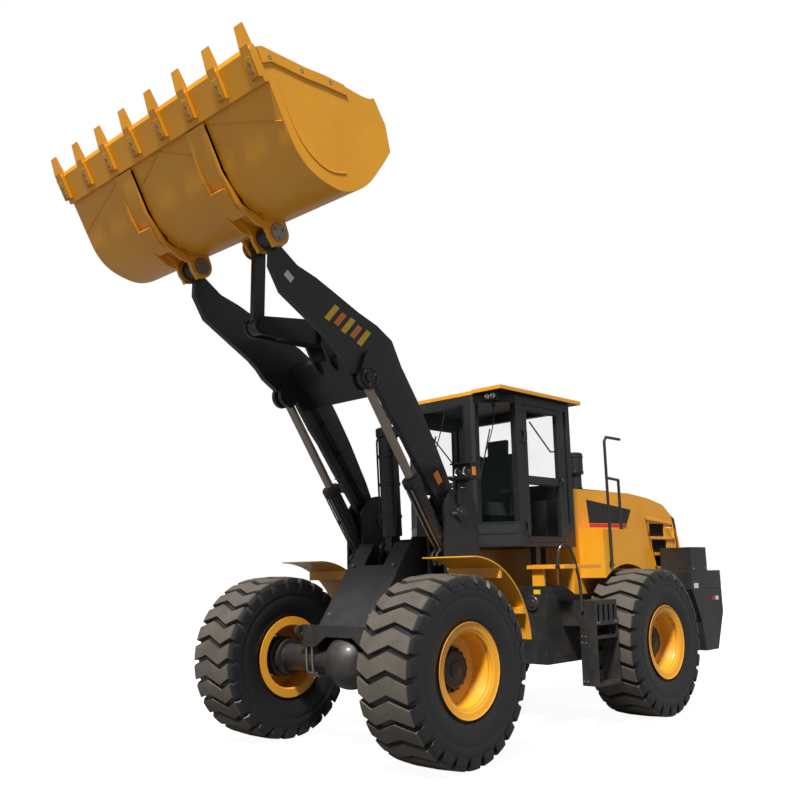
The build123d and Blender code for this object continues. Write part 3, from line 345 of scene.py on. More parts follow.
def finished(mesh, name, body, *finishes, edge=0.0, smooth=35.0):
    made = bpy.data.objects.new(name, mesh)
    bpy.context.scene.collection.objects.link(made)
    kinds = [face.material_index for face in mesh.polygons]
    mesh.materials.clear()
    for finish in finishes:
        mesh.materials.append(finish.material)
    mesh.polygons.foreach_set("material_index", kinds)
    mesh.shade_smooth()
    if edge:
        rounding = made.modifiers.new("rounding", "BEVEL")
        rounding.width = edge
        rounding.segments = 2
        rounding.angle_limit = math.radians(30)
        rounding.harden_normals = True
    mesh.set_sharp_from_angle(angle=math.radians(smooth))
    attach(made, body)
    return made


def lathe(bm, profile, origin, axis, steps, kind=0):
    """Turns (radius, height) points, in metres, round an axis through origin."""
    axis = axis.normalized()
    across = axis.orthogonal().normalized()
    other = axis.cross(across)
    rings = []
    for radius, height in profile:
        centre = origin + axis * height
        turns = [FULL_TURN * k / steps for k in range(steps)] if radius > 1e-6 else [0.0]
        rings.append([bm.verts.new(centre + radius * (math.cos(turn) * across + math.sin(turn) * other))
                      for turn in turns])
    for near, far in zip(rings, rings[1:]):
        for k in range(steps):
            loop = [near[k % len(near)], near[(k + 1) % len(near)], far[(k + 1) % len(far)], far[k % len(far)]]
            loop = [v for n, v in enumerate(loop) if v not in loop[:n]]
            if len(loop) > 2:
                bm.faces.new(loop).material_index = kind


def loft(bm, rings, kind=0):
    """Closed tube through rings of equal length, capped at both ends."""
    made = [[bm.verts.new(p) for p in ring] for ring in rings]
    count = len(made[0])
    faces = [bm.faces.new((a[k], a[(k + 1) % count], b[(k + 1) % count], b[k]))
             for a, b in zip(made, made[1:]) for k in range(count)]
    faces += [bm.faces.new(made[0][::-1]), bm.faces.new(made[-1])]
    for face in faces:
        face.material_index = kind


def copies_tree():
    """Geometry nodes that set one piece on every point of a mesh, turned as its turn says."""
    tree = bpy.data.node_groups.new("copies", "GeometryNodeTree")
    for name, kind in (("Geometry", "Geometry"), ("Piece", "Object"), ("Finish", "Material")):
        tree.interface.new_socket(name, in_out="INPUT", socket_type="NodeSocket" + kind)
    tree.interface.new_socket("Geometry", in_out="OUTPUT", socket_type="NodeSocketGeometry")
    add = tree.nodes.new
    source, result, info = add("NodeGroupInput"), add("NodeGroupOutput"), add("GeometryNodeObjectInfo")
    turn, euler = add("GeometryNodeInputNamedAttribute"), add("FunctionNodeEulerToRotation")
    copy = add("GeometryNodeInstanceOnPoints")
    real, dressed = add("GeometryNodeRealizeInstances"), add("GeometryNodeSetMaterial")
    turn.data_type = "FLOAT_VECTOR"
    turn.inputs["Name"].default_value = "turn"
    for start, output, end, into in (
            (source, "Geometry", copy, "Points"), (source, "Piece", info, "Object"),
            (info, "Geometry", copy, "Instance"), (turn, "Attribute", euler, "Euler"),
            (euler, "Rotation", copy, "Rotation"), (copy, "Instances", real, "Geometry"),
            (real, "Geometry", dressed, "Geometry"), (source, "Finish", dressed, "Material"),
            (dressed, "Geometry", result, "Geometry")):
        tree.links.new(start.outputs[output], end.inputs[into])
    return tree


COPIES = copies_tree()


def copies(bm, spots, finish):
    """Mesh of bm repeated at each spot, a (place, euler turn) pair."""
    seed_mesh = bpy.data.meshes.new("seed")
    bmesh.ops.recalc_face_normals(bm, faces=bm.faces)
    bm.to_mesh(seed_mesh)
    bm.free()
    seed_mesh.shade_smooth()
    seed_mesh.set_sharp_from_angle(angle=math.radians(35))
    seed = bpy.data.objects.new("seed", seed_mesh)
    points = bpy.data.meshes.new("spots")
    points.from_pydata([tuple(p) for p, _ in spots], [], [])
    turns = points.attributes.new("turn", "FLOAT_VECTOR", "POINT")
    turns.data.foreach_set("vector", [v for _, turn in spots for v in turn])
    holder = bpy.data.objects.new("spots", points)
    for thing in (seed, holder):
        bpy.context.scene.collection.objects.link(thing)
    nodes = holder.modifiers.new("copies", "NODES")
    nodes.node_group = COPIES
    sockets = {item.name: item.identifier for item in COPIES.interface.items_tree if item.in_out == "INPUT"}
    nodes[sockets["Piece"]] = seed
    nodes[sockets["Finish"]] = finish.material
    baked = bpy.data.meshes.new_from_object(holder.evaluated_get(bpy.context.evaluated_depsgraph_get()))
    holder.modifiers.remove(nodes)
    for thing in (seed, holder):
        bpy.data.objects.remove(thing)
    return baked


def rubber():
    """Black rubber; the attribute road is 1 where a lug meets the ground."""
    finish = Finish("tyre_rubber")
    fine = finish.noise(70.0, 4.0)
    cloud = finish.noise(6.0, 5.0, 0.65)
    worn = finish.attribute("road") * finish.span(cloud, 0.25, 0.7, 0.55, 1.0)
    black = finish.mix((0.010, 0.010, 0.011, 1), (0.019, 0.018, 0.018, 1), fine)
    finish.set(Base_Color=finish.mix(black, (0.105, 0.088, 0.068, 1), worn),
               Roughness=finish.span(worn, 0.0, 1.0, 0.42, 0.85))
    return finish.bump(fine, 0.2, 0.002)


RUBBER = rubber()
# stations across a lug: Y, radius of its top and of its foot, lead and width in degrees
LUG_STATIONS = ((-0.2945, 0.668, 0.655, -0.6, 9.2), (-0.2895, 0.722, 0.690, 0.0, 9.4),
                (-0.262, 0.764, 0.715, 1.5, 9.6), (-0.140, 0.774, 0.730, -3.2, 9.9),
                (0.063, 0.7745, 0.730, 2.8, 9.9), (0.262, 0.764, 0.715, -1.8, 9.6),
                (0.2895, 0.722, 0.690, -0.6, 9.4), (0.2945, 0.668, 0.655, 0.0, 9.2))
LUG_EDGE = 0.005
LUG_FOOT_SPREAD = 0.5
# radius and Y of the carcass, from one bead to the middle of the tread
CARCASS = ((0.325, -0.240), (0.375, -0.249), (0.398, -0.249), (0.41, -0.262), (0.425, -0.268), (0.50, -0.284),
           (0.575, -0.2925), (0.585, -0.289), (0.60, -0.2935), (0.64, -0.294), (0.68, -0.285), (0.712, -0.262),
           (0.732, -0.20), (0.742, -0.09), (0.743, 0.0))
ROAD_START = 0.757
ROAD_FADE = 0.006
ALONG_AXLE = Vector((0, 1, 0))
UP = Vector((0, 0, 1))


def on_tyre(radius, degrees, y):
    turn = math.radians(degrees - 90)
    return Vector((radius * math.cos(turn), y, radius * math.sin(turn)))


def tyre_lug():
    bm = bmesh.new()
    rings = []
    for (y0, *first), (y1, *second) in zip(LUG_STATIONS, LUG_STATIONS[1:]):
        for step in range(3):
            t = step / 3
            top, foot, lead, width = [a + (b - a) * t for a, b in zip(first, second)]
            rings.append((y0 + (y1 - y0) * t, top, foot, lead, width))
    rings.append(LUG_STATIONS[-1])
    loft(bm, [[on_tyre(foot, lead - width / 2 - LUG_FOOT_SPREAD, y)] +
              [on_tyre(top, lead + width * share, y) for share in (-0.5, -0.17, 0.17, 0.5)] +
              [on_tyre(foot, lead + width / 2 + LUG_FOOT_SPREAD, y)] for y, top, foot, lead, width in rings])
    sharp = [e for e in bm.edges if len(e.link_faces) == 2 and e.calc_face_angle(0) > math.radians(50)]
    bmesh.ops.bevel(bm, geom=sharp, offset=LUG_EDGE, segments=2, profile=0.5, affect="EDGES", clamp_overlap=True)
    return bm


def tyre_mesh():
    """Carcass and lugs about the origin, outer side towards +Y."""
    spots = [((0, 0, 0), (0, FULL_TURN * k / LUG_COUNT, 0)) for k in range(LUG_COUNT)]
    bm = bmesh.new()
    bm.from_mesh(copies(tyre_lug(), spots, RUBBER))
    outline = [*CARCASS, *[(r, -y) for r, y in CARCASS[-2::-1]]]
    lathe(bm, outline + outline[:1], Vector(), ALONG_AXLE, 104)
    bmesh.ops.remove_doubles(bm, verts=bm.verts, dist=1e-6)
    road = bm.verts.layers.float.new("road")
    for v in bm.verts:
        reach = math.hypot(v.co.x, v.co.z)
        v[road] = min(max((reach - ROAD_START) / ROAD_FADE, 0), 1)
    mesh = bpy.data.meshes.new("tyre")
    bm.to_mesh(mesh)
    bm.free()
    return mesh


# radius and Y of the rim and of the hub in it, outer side towards +Y
RIM = ((0.302, -0.262), (0.345, -0.268), (0.372, -0.262), (0.385, -0.268), (0.3845, -0.274), (0.305, -0.274),
       (0.296, -0.262), (0.296, -0.02), (0.19, 0.012), (0.19, 0.016), (0.282, 0.055), (0.292, 0.075), (0.292, 0.198),
       (0.298, 0.212), (0.312, 0.222), (0.3165, 0.232), (0.3165, 0.240), (0.324, 0.2445), (0.334, 0.2515),
       (0.352, 0.2545), (0.372, 0.2595), (0.381, 0.2655), (0.3848, 0.2715), (0.381, 0.2745), (0.376, 0.2695),
       (0.352, 0.2635), (0.330, 0.2605), (0.322, 0.2545), (0.302, 0.2505))
HUB = ((0.0, -0.19), (0.17, -0.19), (0.188, -0.18), (0.188, 0.052), (0.182, 0.062), (0.158, 0.064), (0.152, 0.072),
       (0.150, 0.106), (0.142, 0.114), (0.128, 0.117), (0.124, 0.112), (0.070, 0.112), (0.066, 0.120), (0.052, 0.126),
       (0.0, 0.127))
NUT_COUNT = 16
NUT_CIRCLE = 0.168
NUT_SEAT_Y = 0.058
VALVE = ((0.0, 0), (0.007, 0), (0.007, 0.05), (0.004, 0.056), (0, 0.056))
VALVE_FOOT = Vector((0.27, 0.05, 0.06))


def nut(radius, height):
    """Chamfered hexagon on a wider washer, standing along Z."""
    bm = bmesh.new()
    lathe(bm, [(0, 0), (radius * 1.35, 0), (radius * 1.35, height * 0.2), (radius, height * 0.2),
               (radius, height * 0.85), (radius * 0.85, height), (0, height)], Vector(), UP, 6)
    return bm


BARE_STEEL = Finish("bare_steel")
BARE_STEEL.set(Base_Color=(0.30, 0.29, 0.28, 1), Metallic=0.9,
               Roughness=BARE_STEEL.span(BARE_STEEL.noise(40.0), 0.3, 0.7, 0.28, 0.5))
HUB_BLACK = enamel("hub_black", (0.010, 0.010, 0.011, 1), (0.016, 0.014, 0.012, 1), 0.5, 0.05)


def rim_mesh():
    turns = [FULL_TURN * k / NUT_COUNT for k in range(NUT_COUNT)]
    nuts = copies(nut(0.013, 0.03), [((NUT_CIRCLE * math.cos(turn), NUT_SEAT_Y, NUT_CIRCLE * math.sin(turn)),
                                      (-math.pi / 2, 0, 0)) for turn in turns], HUB_BLACK)
    bm = bmesh.new()
    bm.from_mesh(nuts)
    for face in bm.faces:
        face.material_index = 1
    lathe(bm, HUB, Vector(), ALONG_AXLE, 64, kind=1)
    lathe(bm, RIM + RIM[:1], Vector(), ALONG_AXLE, 96)
    lathe(bm, VALVE, VALVE_FOOT, ALONG_AXLE, 12, kind=1)
    mesh = bpy.data.meshes.new("rim")
    bm.to_mesh(mesh)
    bm.free()
    return mesh


def mirrored_mesh(mesh):
    copy = mesh.copy()
    bm = bmesh.new()
    bm.from_mesh(copy)
    for v in bm.verts:
        v.co.y = -v.co.y
    bmesh.ops.reverse_faces(bm, faces=bm.faces)
    bm.to_mesh(copy)
    bm.free()
    return copy


TYRE_MESH, RIM_MESH = tyre_mesh(), rim_mesh()
for end, side in WHEELS:
    body = "wheel_%s_%s" % (end, side)
    across = WHEEL_Y if side == "left" else -WHEEL_Y
    for kind, mesh, finishes in (("tyre", TYRE_MESH, (RUBBER,)), ("rim", RIM_MESH, (YELLOW, HUB_BLACK))):
        mesh = mesh.copy() if side == "left" else mirrored_mesh(mesh)
        mesh.transform(Matrix.Translation((WHEEL_X[end], across, WHEEL_Z)))
        made = finished(mesh, "%s_%s_%s_dressed" % (kind, end, side), body, *finishes, smooth=28.0)
        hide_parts("%s_%s_%s" % (kind, end, side))


# Bucket. Welded plate straps run back to the hinge lugs, with ribs along them, and weld
# seams show at its lip, ends and floor. Bolts hold the teeth's adapters and side cutters.
BUCKET_HINGE = (3060.0, 4352.0)
BUCKET_ROLL = math.radians(61)
BUCKET_HALF = 1500.0
STRAP_OUTLINE = ((972, -302), (590, -302), (316, -233), (252, -178), (232, -206), (306, -262), (584, -331),
                 (962, -326))
PAD_OUTLINE = ((480, -300), (462, -352), (300, -312), (214, -232), (232, -206), (306, -262))
RIB_OUTLINE = ((930, -316), (600, -352), (330, -318), (116, -186), (60, -104), (110, -112), (306, -240),
               (590, -306))
GUSSET_OUTLINE = ((360, -214), (250, -196), (136, -92), (104, -20), (170, -96), (290, -205))
STRAP_PLATES = ((STRAP_OUTLINE, 430, 690), (PAD_OUTLINE, 462, 658), (RIB_OUTLINE, 430, 458), (RIB_OUTLINE, 662, 690),
                (GUSSET_OUTLINE, 418, 432), (GUSSET_OUTLINE, 688, 702))
LIP_SEAM = ((1186, -279), (900, -279))
LIP_SEAM_Y = 1398.7
END_SEAM = ((1010, -215), (760, -232), (560, -222), (400, -165), (285, -70), (228, 40), (215, 130))
FLOOR_SEAMS = (((950, 715), (700, 1490)), ((975, 12), (800, 424)))
FLOOR_SEAM_Z = -303
EDGE_TEETH = 8
TOOTH_INSET = 50.0
TOOTH_BOLTS = ((1078, -366), (1140, -366))
ADAPTER_CHEEK = ((1030, -337), (1232, -337), (1262, -350), (1232, -372), (1030, -372))
ADAPTER_SOLE = ((1046, -366), (1190, -372), (1190, -378), (1046, -374))
ADAPTER_PLATES = ((ADAPTER_CHEEK, -52, -45.5), (ADAPTER_CHEEK, 45.5, 52), (ADAPTER_SOLE, -30, 30))
CUTTER_BOLTS = ((1150, -215), (1020, 60), (900, 320))
CUTTER_HEAD = ((0, 0), (0.020, 0), (0.020, 0.0105), (0.017, 0.0125), (0.008, 0.0125), (0.007, 0.008), (0, 0.008))


def in_bucket(x, y, z):
    """Point given in the bucket's own frame: X to the lip, Z up with the floor level."""
    c, s = math.cos(BUCKET_ROLL), math.sin(BUCKET_ROLL)
    return place(BUCKET_HINGE[0] + x * c - z * s, y, BUCKET_HINGE[1] + x * s + z * c)


def placed(side, points):
    """Places of (X, Y, Z) points, with Y taken outwards on one side."""
    return [place(x, side * y, z) for x, y, z in points]


def slab(bm, outline, y0, y1, frame=place, kind=0, side=1):
    """Plate of an (X, Z) outline between two Y planes, taken outwards on one side."""
    loft(bm, [[frame(x, side * y, z) for x, z in outline] for y in (y0, y1)], kind)


def cuboid(bm, x0, x1, y0, y1, z0, z1, frame=place, kind=0, side=1):
    slab(bm, [(x0, z0), (x1, z0), (x1, z1), (x0, z1)], y0, y1, frame, kind, side)


def pipe(bm, points, radius, roundness=1):
    """Round pipe along a smooth line through the given control points, with closed ends."""
    line = bpy.data.curves.new("line", "CURVE")
    line.dimensions = "3D"
    spline = line.splines.new("NURBS")
    spline.points.add(len(points) - 1)
    for knot, point in zip(spline.points, points):
        knot.co = (*point, 1)
    spline.order_u = 3
    spline.use_endpoint_u = True
    spline.resolution_u = 6
    line.bevel_depth = radius
    line.bevel_resolution = roundness
    line.use_fill_caps = True
    holder = bpy.data.objects.new("line", line)
    mesh = bpy.data.meshes.new_from_object(holder)
    bm.from_mesh(mesh)
    bpy.data.objects.remove(holder)
    bpy.data.meshes.remove(mesh)
    bpy.data.curves.remove(line)


def repeated(name, body, bm, spots, finish):
    return finished(copies(bm, spots, finish), name, body, finish)


def bolts(name, body, spots, direction, size):
    """Hexagon bolt heads on washers at each spot, standing along one direction."""
    turn = tuple(Vector(direction).normalized().to_track_quat("Z", "Y").to_euler())
    repeated(name, body, nut(size, size * 0.95), [(p, turn) for p in spots], BARE_STEEL)


def ring_points(x, z, radius, y, turns):
    """Points on a circle about a cross shaft."""
    return [(x + radius * math.cos(a), y, z + radius * math.sin(a)) for a in turns]


def side_bolts(label, body, points, size):
    """Bolts at (X, Y, Z) points of both sides, with their heads outwards."""
    for name, side in zip(SIDES, ACROSS):
        bolts(label + name, body, placed(side, points), (0, side, 0), size)


PIN_BOLTS = ring_points(*BUCKET_HINGE, 48, 695, (0.4, 2.5, 4.6))
straps = bmesh.new()
for side in ACROSS:
    for outline, y0, y1 in STRAP_PLATES:
        slab(straps, outline, y0, y1, in_bucket, side=side)
for y in (-LIP_SEAM_Y, LIP_SEAM_Y):
    pipe(straps, [in_bucket(x, y, z) for x, z in LIP_SEAM], 0.004)
for side in ACROSS:
    pipe(straps, [in_bucket(x, side * (BUCKET_HALF + 1), z) for x, z in END_SEAM], 0.006)
    for seam in FLOOR_SEAMS:
        pipe(straps, [in_bucket(x, side * y, FLOOR_SEAM_Z) for x, y in seam], 0.005)
piece(straps, "bucket_straps", "bucket", YELLOW, edge=0.004)
tooth_pitch = 2 * (BUCKET_HALF - TOOTH_INSET) / (EDGE_TEETH - 1)
tooth_places = [TOOTH_INSET - BUCKET_HALF + k * tooth_pitch for k in range(EDGE_TEETH)]
bolts("tooth_bolts", "bucket", [in_bucket(x, y, z) for y in tooth_places for x, z in TOOTH_BOLTS],
      in_bucket(0, 0, -1) - in_bucket(0, 0, 0), 0.017)
for name, side in zip(SIDES, ACROSS):
    heads = bmesh.new()
    for x, z in CUTTER_BOLTS:
        lathe(heads, CUTTER_HEAD, in_bucket(x, side * BUCKET_HALF, z), Vector((0, side, 0)), 24)
    piece(heads, "cutter_bolts_" + name, "bucket", BARE_STEEL)
    bolts("hinge_bolts_" + name, "bucket_pins", placed(side, PIN_BOLTS), (0, side, 0), 0.011)
adapters = bmesh.new()
for y in tooth_places:
    for outline, y0, y1 in ADAPTER_PLATES:
        slab(adapters, outline, y + y0, y + y1, in_bucket)
piece(adapters, "tooth_adapters", "bucket", YELLOW, edge=0.003)


# Boom. Coloured marks are painted on the arms' outer faces, the pins' bosses are turned and
# bolted on, and the pipes that feed the cylinders are clipped along the inside of each arm.
ARM_FACE = 590.6
PAINT_THICKNESS = 1.2
MARK_COUNT = 5
MARK_FIRST = Vector((2010, 3655))
MARK_ALONG = Vector((0.922, 0.387))
MARK_LEAN = Vector((-0.66, 0.75))
MARK_PITCH = 104
MARK_HALF = 30
MARK_REACHES = (96, 78)
# each label's middle, direction, half length, half height and colour
LABELS = (((1054, 2447), (0.56, 0.83), 62, 38, 1), ((2876, 4040), (0.8, 0.6), 46, 32, 2))
LIFT_BOSS_FOOT = (1990, 630.5, 3290)
LIFT_BOSS = ((0.098, 0), (0.098, 0.012), (0.088, 0.018), (0.082, 0.018), (0.080, 0.010), (0.052, 0.010),
             (0.050, 0.026), (0.044, 0.031), (0, 0.031))
LIFT_PIN_BOLTS = ring_points(1990, 3290, 68, 641, (0.6, 2.7, 4.8))
TIP_BOSS_FOOT = (BUCKET_HINGE[0], 630.4, BUCKET_HINGE[1])
TIP_BOSS = ((0.118, 0), (0.118, 0.006), (0.104, 0.012), (0, 0.012))
PIPE_RUN = ((905, 2205), (985, 2290), (1130, 2500), (1500, 3010), (1640, 3190))
# each pipe's distance out and its last point
PIPES = ((508, (1700, 3270)), (485, (1720, 3270)))
PIPE_RADIUS = 0.011
CLIPS = [(x - 22, x + 22, 474, 529, z - 18, z + 18) for x, z in ((1130, 2510), (1330, 2780), (1530, 3060))]


def flat_paint(name, colour, roughness=0.4):
    finish = Finish(name)
    fine = finish.noise(40.0, 3.0)
    finish.set(Base_Color=finish.mix(colour, tuple(c * 0.82 for c in colour[:3]) + (1,), fine),
               Roughness=finish.span(fine, 0.3, 0.7, roughness - 0.05, roughness + 0.1))
    return finish.bump(fine, 0.05, 0.001)


def painted_mark(bm, middle, along, lean, half_length, half_height, side, kind):
    """Flat parallelogram of paint on the outer face of one arm."""
    corners = [middle + along * a * half_length + lean * b * half_height
               for a, b in ((-1, -1), (1, -1), (1, 1), (-1, 1))]
    slab(bm, corners, ARM_FACE, ARM_FACE + PAINT_THICKNESS, kind=kind, side=side)


def boss(bm, profile, side, point, steps):
    """Turned boss that stands outwards from a point of one side."""
    lathe(bm, profile, *placed(side, [point]), Vector((0, side, 0)), steps)


MARK_YELLOW = flat_paint("mark_yellow", (0.80, 0.50, 0.03, 1))
MARK_ORANGE = flat_paint("mark_orange", (0.78, 0.22, 0.035, 1))
MARK_WHITE = flat_paint("mark_white", (0.72, 0.72, 0.70, 1))
MARK_RED = flat_paint("mark_red", (0.60, 0.018, 0.015, 1))
BLACK_PLASTIC = flat_paint("black_plastic", (0.012, 0.012, 0.013, 1), 0.45)
marks = bmesh.new()
for side in ACROSS:
    for k in range(MARK_COUNT):
        painted_mark(marks, MARK_FIRST + MARK_ALONG * (k * MARK_PITCH), MARK_ALONG, MARK_LEAN, MARK_HALF,
                     MARK_REACHES[k % 2], side, k % 2)
    for middle, (run, rise), half_length, half_height, kind in LABELS:
        painted_mark(marks, Vector(middle), Vector((run, rise)), Vector((-rise, run)), half_length, half_height,
                     side, kind)
piece(marks, "boom_marks", "boom", MARK_YELLOW, MARK_ORANGE, MARK_WHITE)
bosses, runs = bmesh.new(), bmesh.new()
for side in ACROSS:
    boss(bosses, LIFT_BOSS, side, LIFT_BOSS_FOOT, 48)
    boss(bosses, TIP_BOSS, side, TIP_BOSS_FOOT, 48)
    for y, end in PIPES:
        pipe(runs, [place(x, side * y, z) for x, z in (*PIPE_RUN, end)], PIPE_RADIUS)
    for clip in CLIPS:
        cuboid(runs, *clip, side=side)
piece(bosses, "boom_bosses", "boom", GREY)
piece(runs, "boom_pipes", "boom", BLACK_PLASTIC)
side_bolts("lift_pin_bolts_", "boom", LIFT_PIN_BOLTS, 0.010)


# Front frame. The sloping cover is bolted on, and the boom's foot pins have turned caps,
# each locked by a bar and two bolts on the outer wall of its tower.
COVER_OUT = Vector((0.812, 0, 0.583))
COVER_FACE = 0.0125
COVER_BOLTS = ((1666, 1180), (1348, 1629))
COVER_BOLT_Y = 276
TOWER_CAP_FOOT = (833, 695.4, 2107)
TOWER_CAP = ((0.078, 0), (0.078, 0.008), (0.070, 0.014), (0.045, 0.014), (0.043, 0.022), (0, 0.022))
# boxes here and below are (X from, X to, Y from, Y to, Z from, Z to), with Y outwards
LOCK_BAR = (900, 985, 681, 689, 2085, 2130)
LOCK_BOLTS = ((925, 689, 2107), (960, 689, 2107))
bolts("cover_bolts", "front_frame", [place(x, y, z) + COVER_OUT * COVER_FACE for x, z in COVER_BOLTS
                                     for y in (-COVER_BOLT_Y, COVER_BOLT_Y)], COVER_OUT, 0.016)
caps = bmesh.new()
for side in ACROSS:
    boss(caps, TOWER_CAP, side, TOWER_CAP_FOOT, 40)
    cuboid(caps, *LOCK_BAR, side=side)
piece(caps, "tower_caps", "front_frame", GREY, edge=0.002)
side_bolts("tower_bolts_", "front_frame", LOCK_BOLTS, 0.012)


# Lift cylinders. Each barrel carries a turned gland round its rod and two clamping bands,
# and two steel elbows near its foot feed the pipes that run up its front.
LIFT_FOOT = (850, 560, 1600)
LIFT_ALONG = Vector((0.5592, 0, 0.8290))
LIFT_GLAND = ((0.074, 0.905), (0.088, 0.912), (0.092, 0.920), (0.092, 0.985), (0.086, 0.993), (0.060, 1.004),
              (0.046, 1.006), (0.046, 0.99))
LIFT_BAND_RADII = (0.0735, 0.079)
LIFT_BAND_STARTS = (0.60, 0.34)
ELBOW_HEIGHT = 0.24
ELBOW_OUT = 0.068
ELBOW_HALF_PITCH = 0.030


def band(bm, radii, start, length, lip, foot, along, steps):
    """Clamping band round a barrel, chamfered at both ends."""
    inner, outer = radii
    lathe(bm, [(inner, start), (outer, start + lip), (outer, start + length - lip), (inner, start + length)], foot,
          along, steps)


def disc(bm, radius, height, foot, along, steps):
    lathe(bm, [(0, 0), (radius, 0), (radius, height), (0, height)], foot, along, steps)


for name, side in zip(SIDES, ACROSS):
    foot, = placed(side, [LIFT_FOOT])
    out = Vector((LIFT_ALONG.z, 0, -LIFT_ALONG.x))
    fittings = bmesh.new()
    lathe(fittings, LIFT_GLAND, foot, LIFT_ALONG, 40)
    for start in LIFT_BAND_STARTS:
        band(fittings, LIFT_BAND_RADII, start, 0.036, 0.002, foot, LIFT_ALONG, 40)
    piece(fittings, "lift_fittings_" + name, "lift_barrel_" + name, GREY)
    elbows = bmesh.new()
    for step in (-ELBOW_HALF_PITCH, ELBOW_HALF_PITCH):
        root = foot + LIFT_ALONG * (ELBOW_HEIGHT + abs(step) * 0.3) + out * ELBOW_OUT + Vector((0, step, 0))
        pipe(elbows, [root, root + out * 0.05, root + out * 0.085 - LIFT_ALONG * 0.01,
                      root + out * 0.09 - LIFT_ALONG * 0.09], 0.012)
        disc(elbows, 0.019, 0.022, root, out, 6)
        disc(elbows, 0.018, 0.026, root + out * 0.09 - LIFT_ALONG * 0.085, -LIFT_ALONG, 6)
        pipe(elbows, [root + LIFT_ALONG * 0.02, root + LIFT_ALONG * 0.08 + out * 0.012,
                      root + LIFT_ALONG * 0.6 + out * 0.014, root + LIFT_ALONG * 0.66 + out * 0.012], 0.009)
    piece(elbows, "lift_elbows_" + name, "lift_barrel_" + name, BARE_STEEL)


# Headlamps. Two bright reflectors in a black box, with an amber side lens, a bent steel
# bracket down the tower and two guard bars across the front.
LAMP_MIDDLE = (955, 2490)
LAMP_Y = (768, 872)
LAMP_BOWL = ((0, 0.0), (0.02, 0.002), (0.034, 0.008), (0.041, 0.016), (0.044, 0.016), (0.044, 0.010))
SIDE_LENS = (900, 945, 925.5, 932, 2450, 2530)
BRACKET = ((972, 2271), (900, 2290), (852, 2229), (800, 2262), (830, 2330), (868, 2400), (905, 2418), (930, 2400))
BRACKET_SPAN = (683, 690)
GUARD_BARS = ((962, 968, 722, 918, 2429, 2439), (962, 968, 722, 918, 2541, 2551))
AHEAD = Vector((1, 0, 0))


def lamp_mirror():
    finish = Finish("lamp_mirror")
    ripple = finish.node("ShaderNodeTexVoronoi", {}, {"Vector": finish.place(), "Scale": 90.0})
    finish.set(Base_Color=(0.85, 0.85, 0.84, 1), Metallic=1.0, Roughness=0.12)
    return finish.bump(ripple, 0.4, 0.002)


MIRROR = lamp_mirror()
AMBER = flat_paint("amber_lens", (0.85, 0.25, 0.02, 1), 0.2)
lamps = bmesh.new()
for side in ACROSS:
    for y in LAMP_Y:
        lathe(lamps, LAMP_BOWL, place(LAMP_MIDDLE[0], side * y, LAMP_MIDDLE[1]), AHEAD, 28, kind=1)
    cuboid(lamps, *SIDE_LENS, kind=2, side=side)
    slab(lamps, BRACKET, *BRACKET_SPAN, side=side)
    for bar in GUARD_BARS:
        cuboid(lamps, *bar, side=side)
piece(lamps, "headlamp_fittings", "front_frame", BLACK_PLASTIC, MIRROR, AMBER)


# Doors and roof. The roof is lined in black below, the seat is covered in cloth, each door
# has rubber gaskets round its panes, a gas stay, a pull handle and screwed hinges.
PANE_X = (-745, -185)
PANE_LEVELS = ((2520, 3225), (1895, 2450))
GASKET_SPAN = (738, 754)
GASKET = 12
STAY = ((-324, 700, 3118), (-500, 700, 2976), (-689, 700, 2825))
STAY_END = ((-689, 700, 2825), (-720, 702, 2828), (-752, 706, 2830))
HANDLE_PLATE = (-786, -752, 760, 768, 2440, 2540)
HANDLE = ((-769, 766, 2455), (-769, 796, 2460), (-769, 796, 2520), (-769, 766, 2525))
HINGE_SCREWS = [(-92, 760, z) for z in (1940, 2060, 2890, 3010)]


def also(finish, name, chosen):
    """Gives a second finish to the faces of a CAD piece that are chosen by middle and normal."""
    mesh = NODES[name].data
    mesh.materials.append(finish.material)
    for face in mesh.polygons:
        if chosen(face.center, face.normal):
            face.material_index = len(mesh.materials) - 1


SEAT_CLOTH = flat_paint("seat_cloth", (0.020, 0.034, 0.036, 1), 0.75)
also(BLACK_PLASTIC, "cab_roof", lambda middle, normal: normal.z < -0.7)
dress(SEAT_CLOTH, "seat")
for name, side in zip(SIDES, ACROSS):
    frames = bmesh.new()
    x0, x1 = PANE_X
    inner = (x0 + GASKET, x1 - GASKET)
    for z0, z1 in PANE_LEVELS:
        for x_span, z_span in (((x0, inner[0]), (z0, z1)), ((inner[1], x1), (z0, z1)), (inner, (z0, z0 + GASKET)),
                               (inner, (z1 - GASKET, z1))):
            cuboid(frames, *x_span, *GASKET_SPAN, *z_span, side=side)
    for line in (STAY, STAY_END):
        pipe(frames, placed(side, line), 0.009)
    cuboid(frames, *HANDLE_PLATE, side=side)
    pipe(frames, placed(side, HANDLE), 0.008)
    piece(frames, "door_trim_" + name, "door_" + name, BLACK_PLASTIC, edge=0.002)
    bolts("hinge_screws_" + name, "rear_frame", placed(side, HINGE_SCREWS), (0, side, 0), 0.007)


# Cab front. Pressed ribs stiffen the slanting corner panels, a wiper hangs on each corner
# pane and on the windscreen, and twin work lamps hang under the roof.
CORNER_START = (300, 400)
CORNER_RUN = (-300, 360)
CORNER_OUT = (0.768, 0.640)
# each rib's start and end along the corner, its two levels and its height
CORNER_RIBS = ((0.06, 0.94, 1930, 1948, 6), (0.0, 1.0, 1802, 1838, 7), (0.0, 1.0, 2036, 2050, 5))
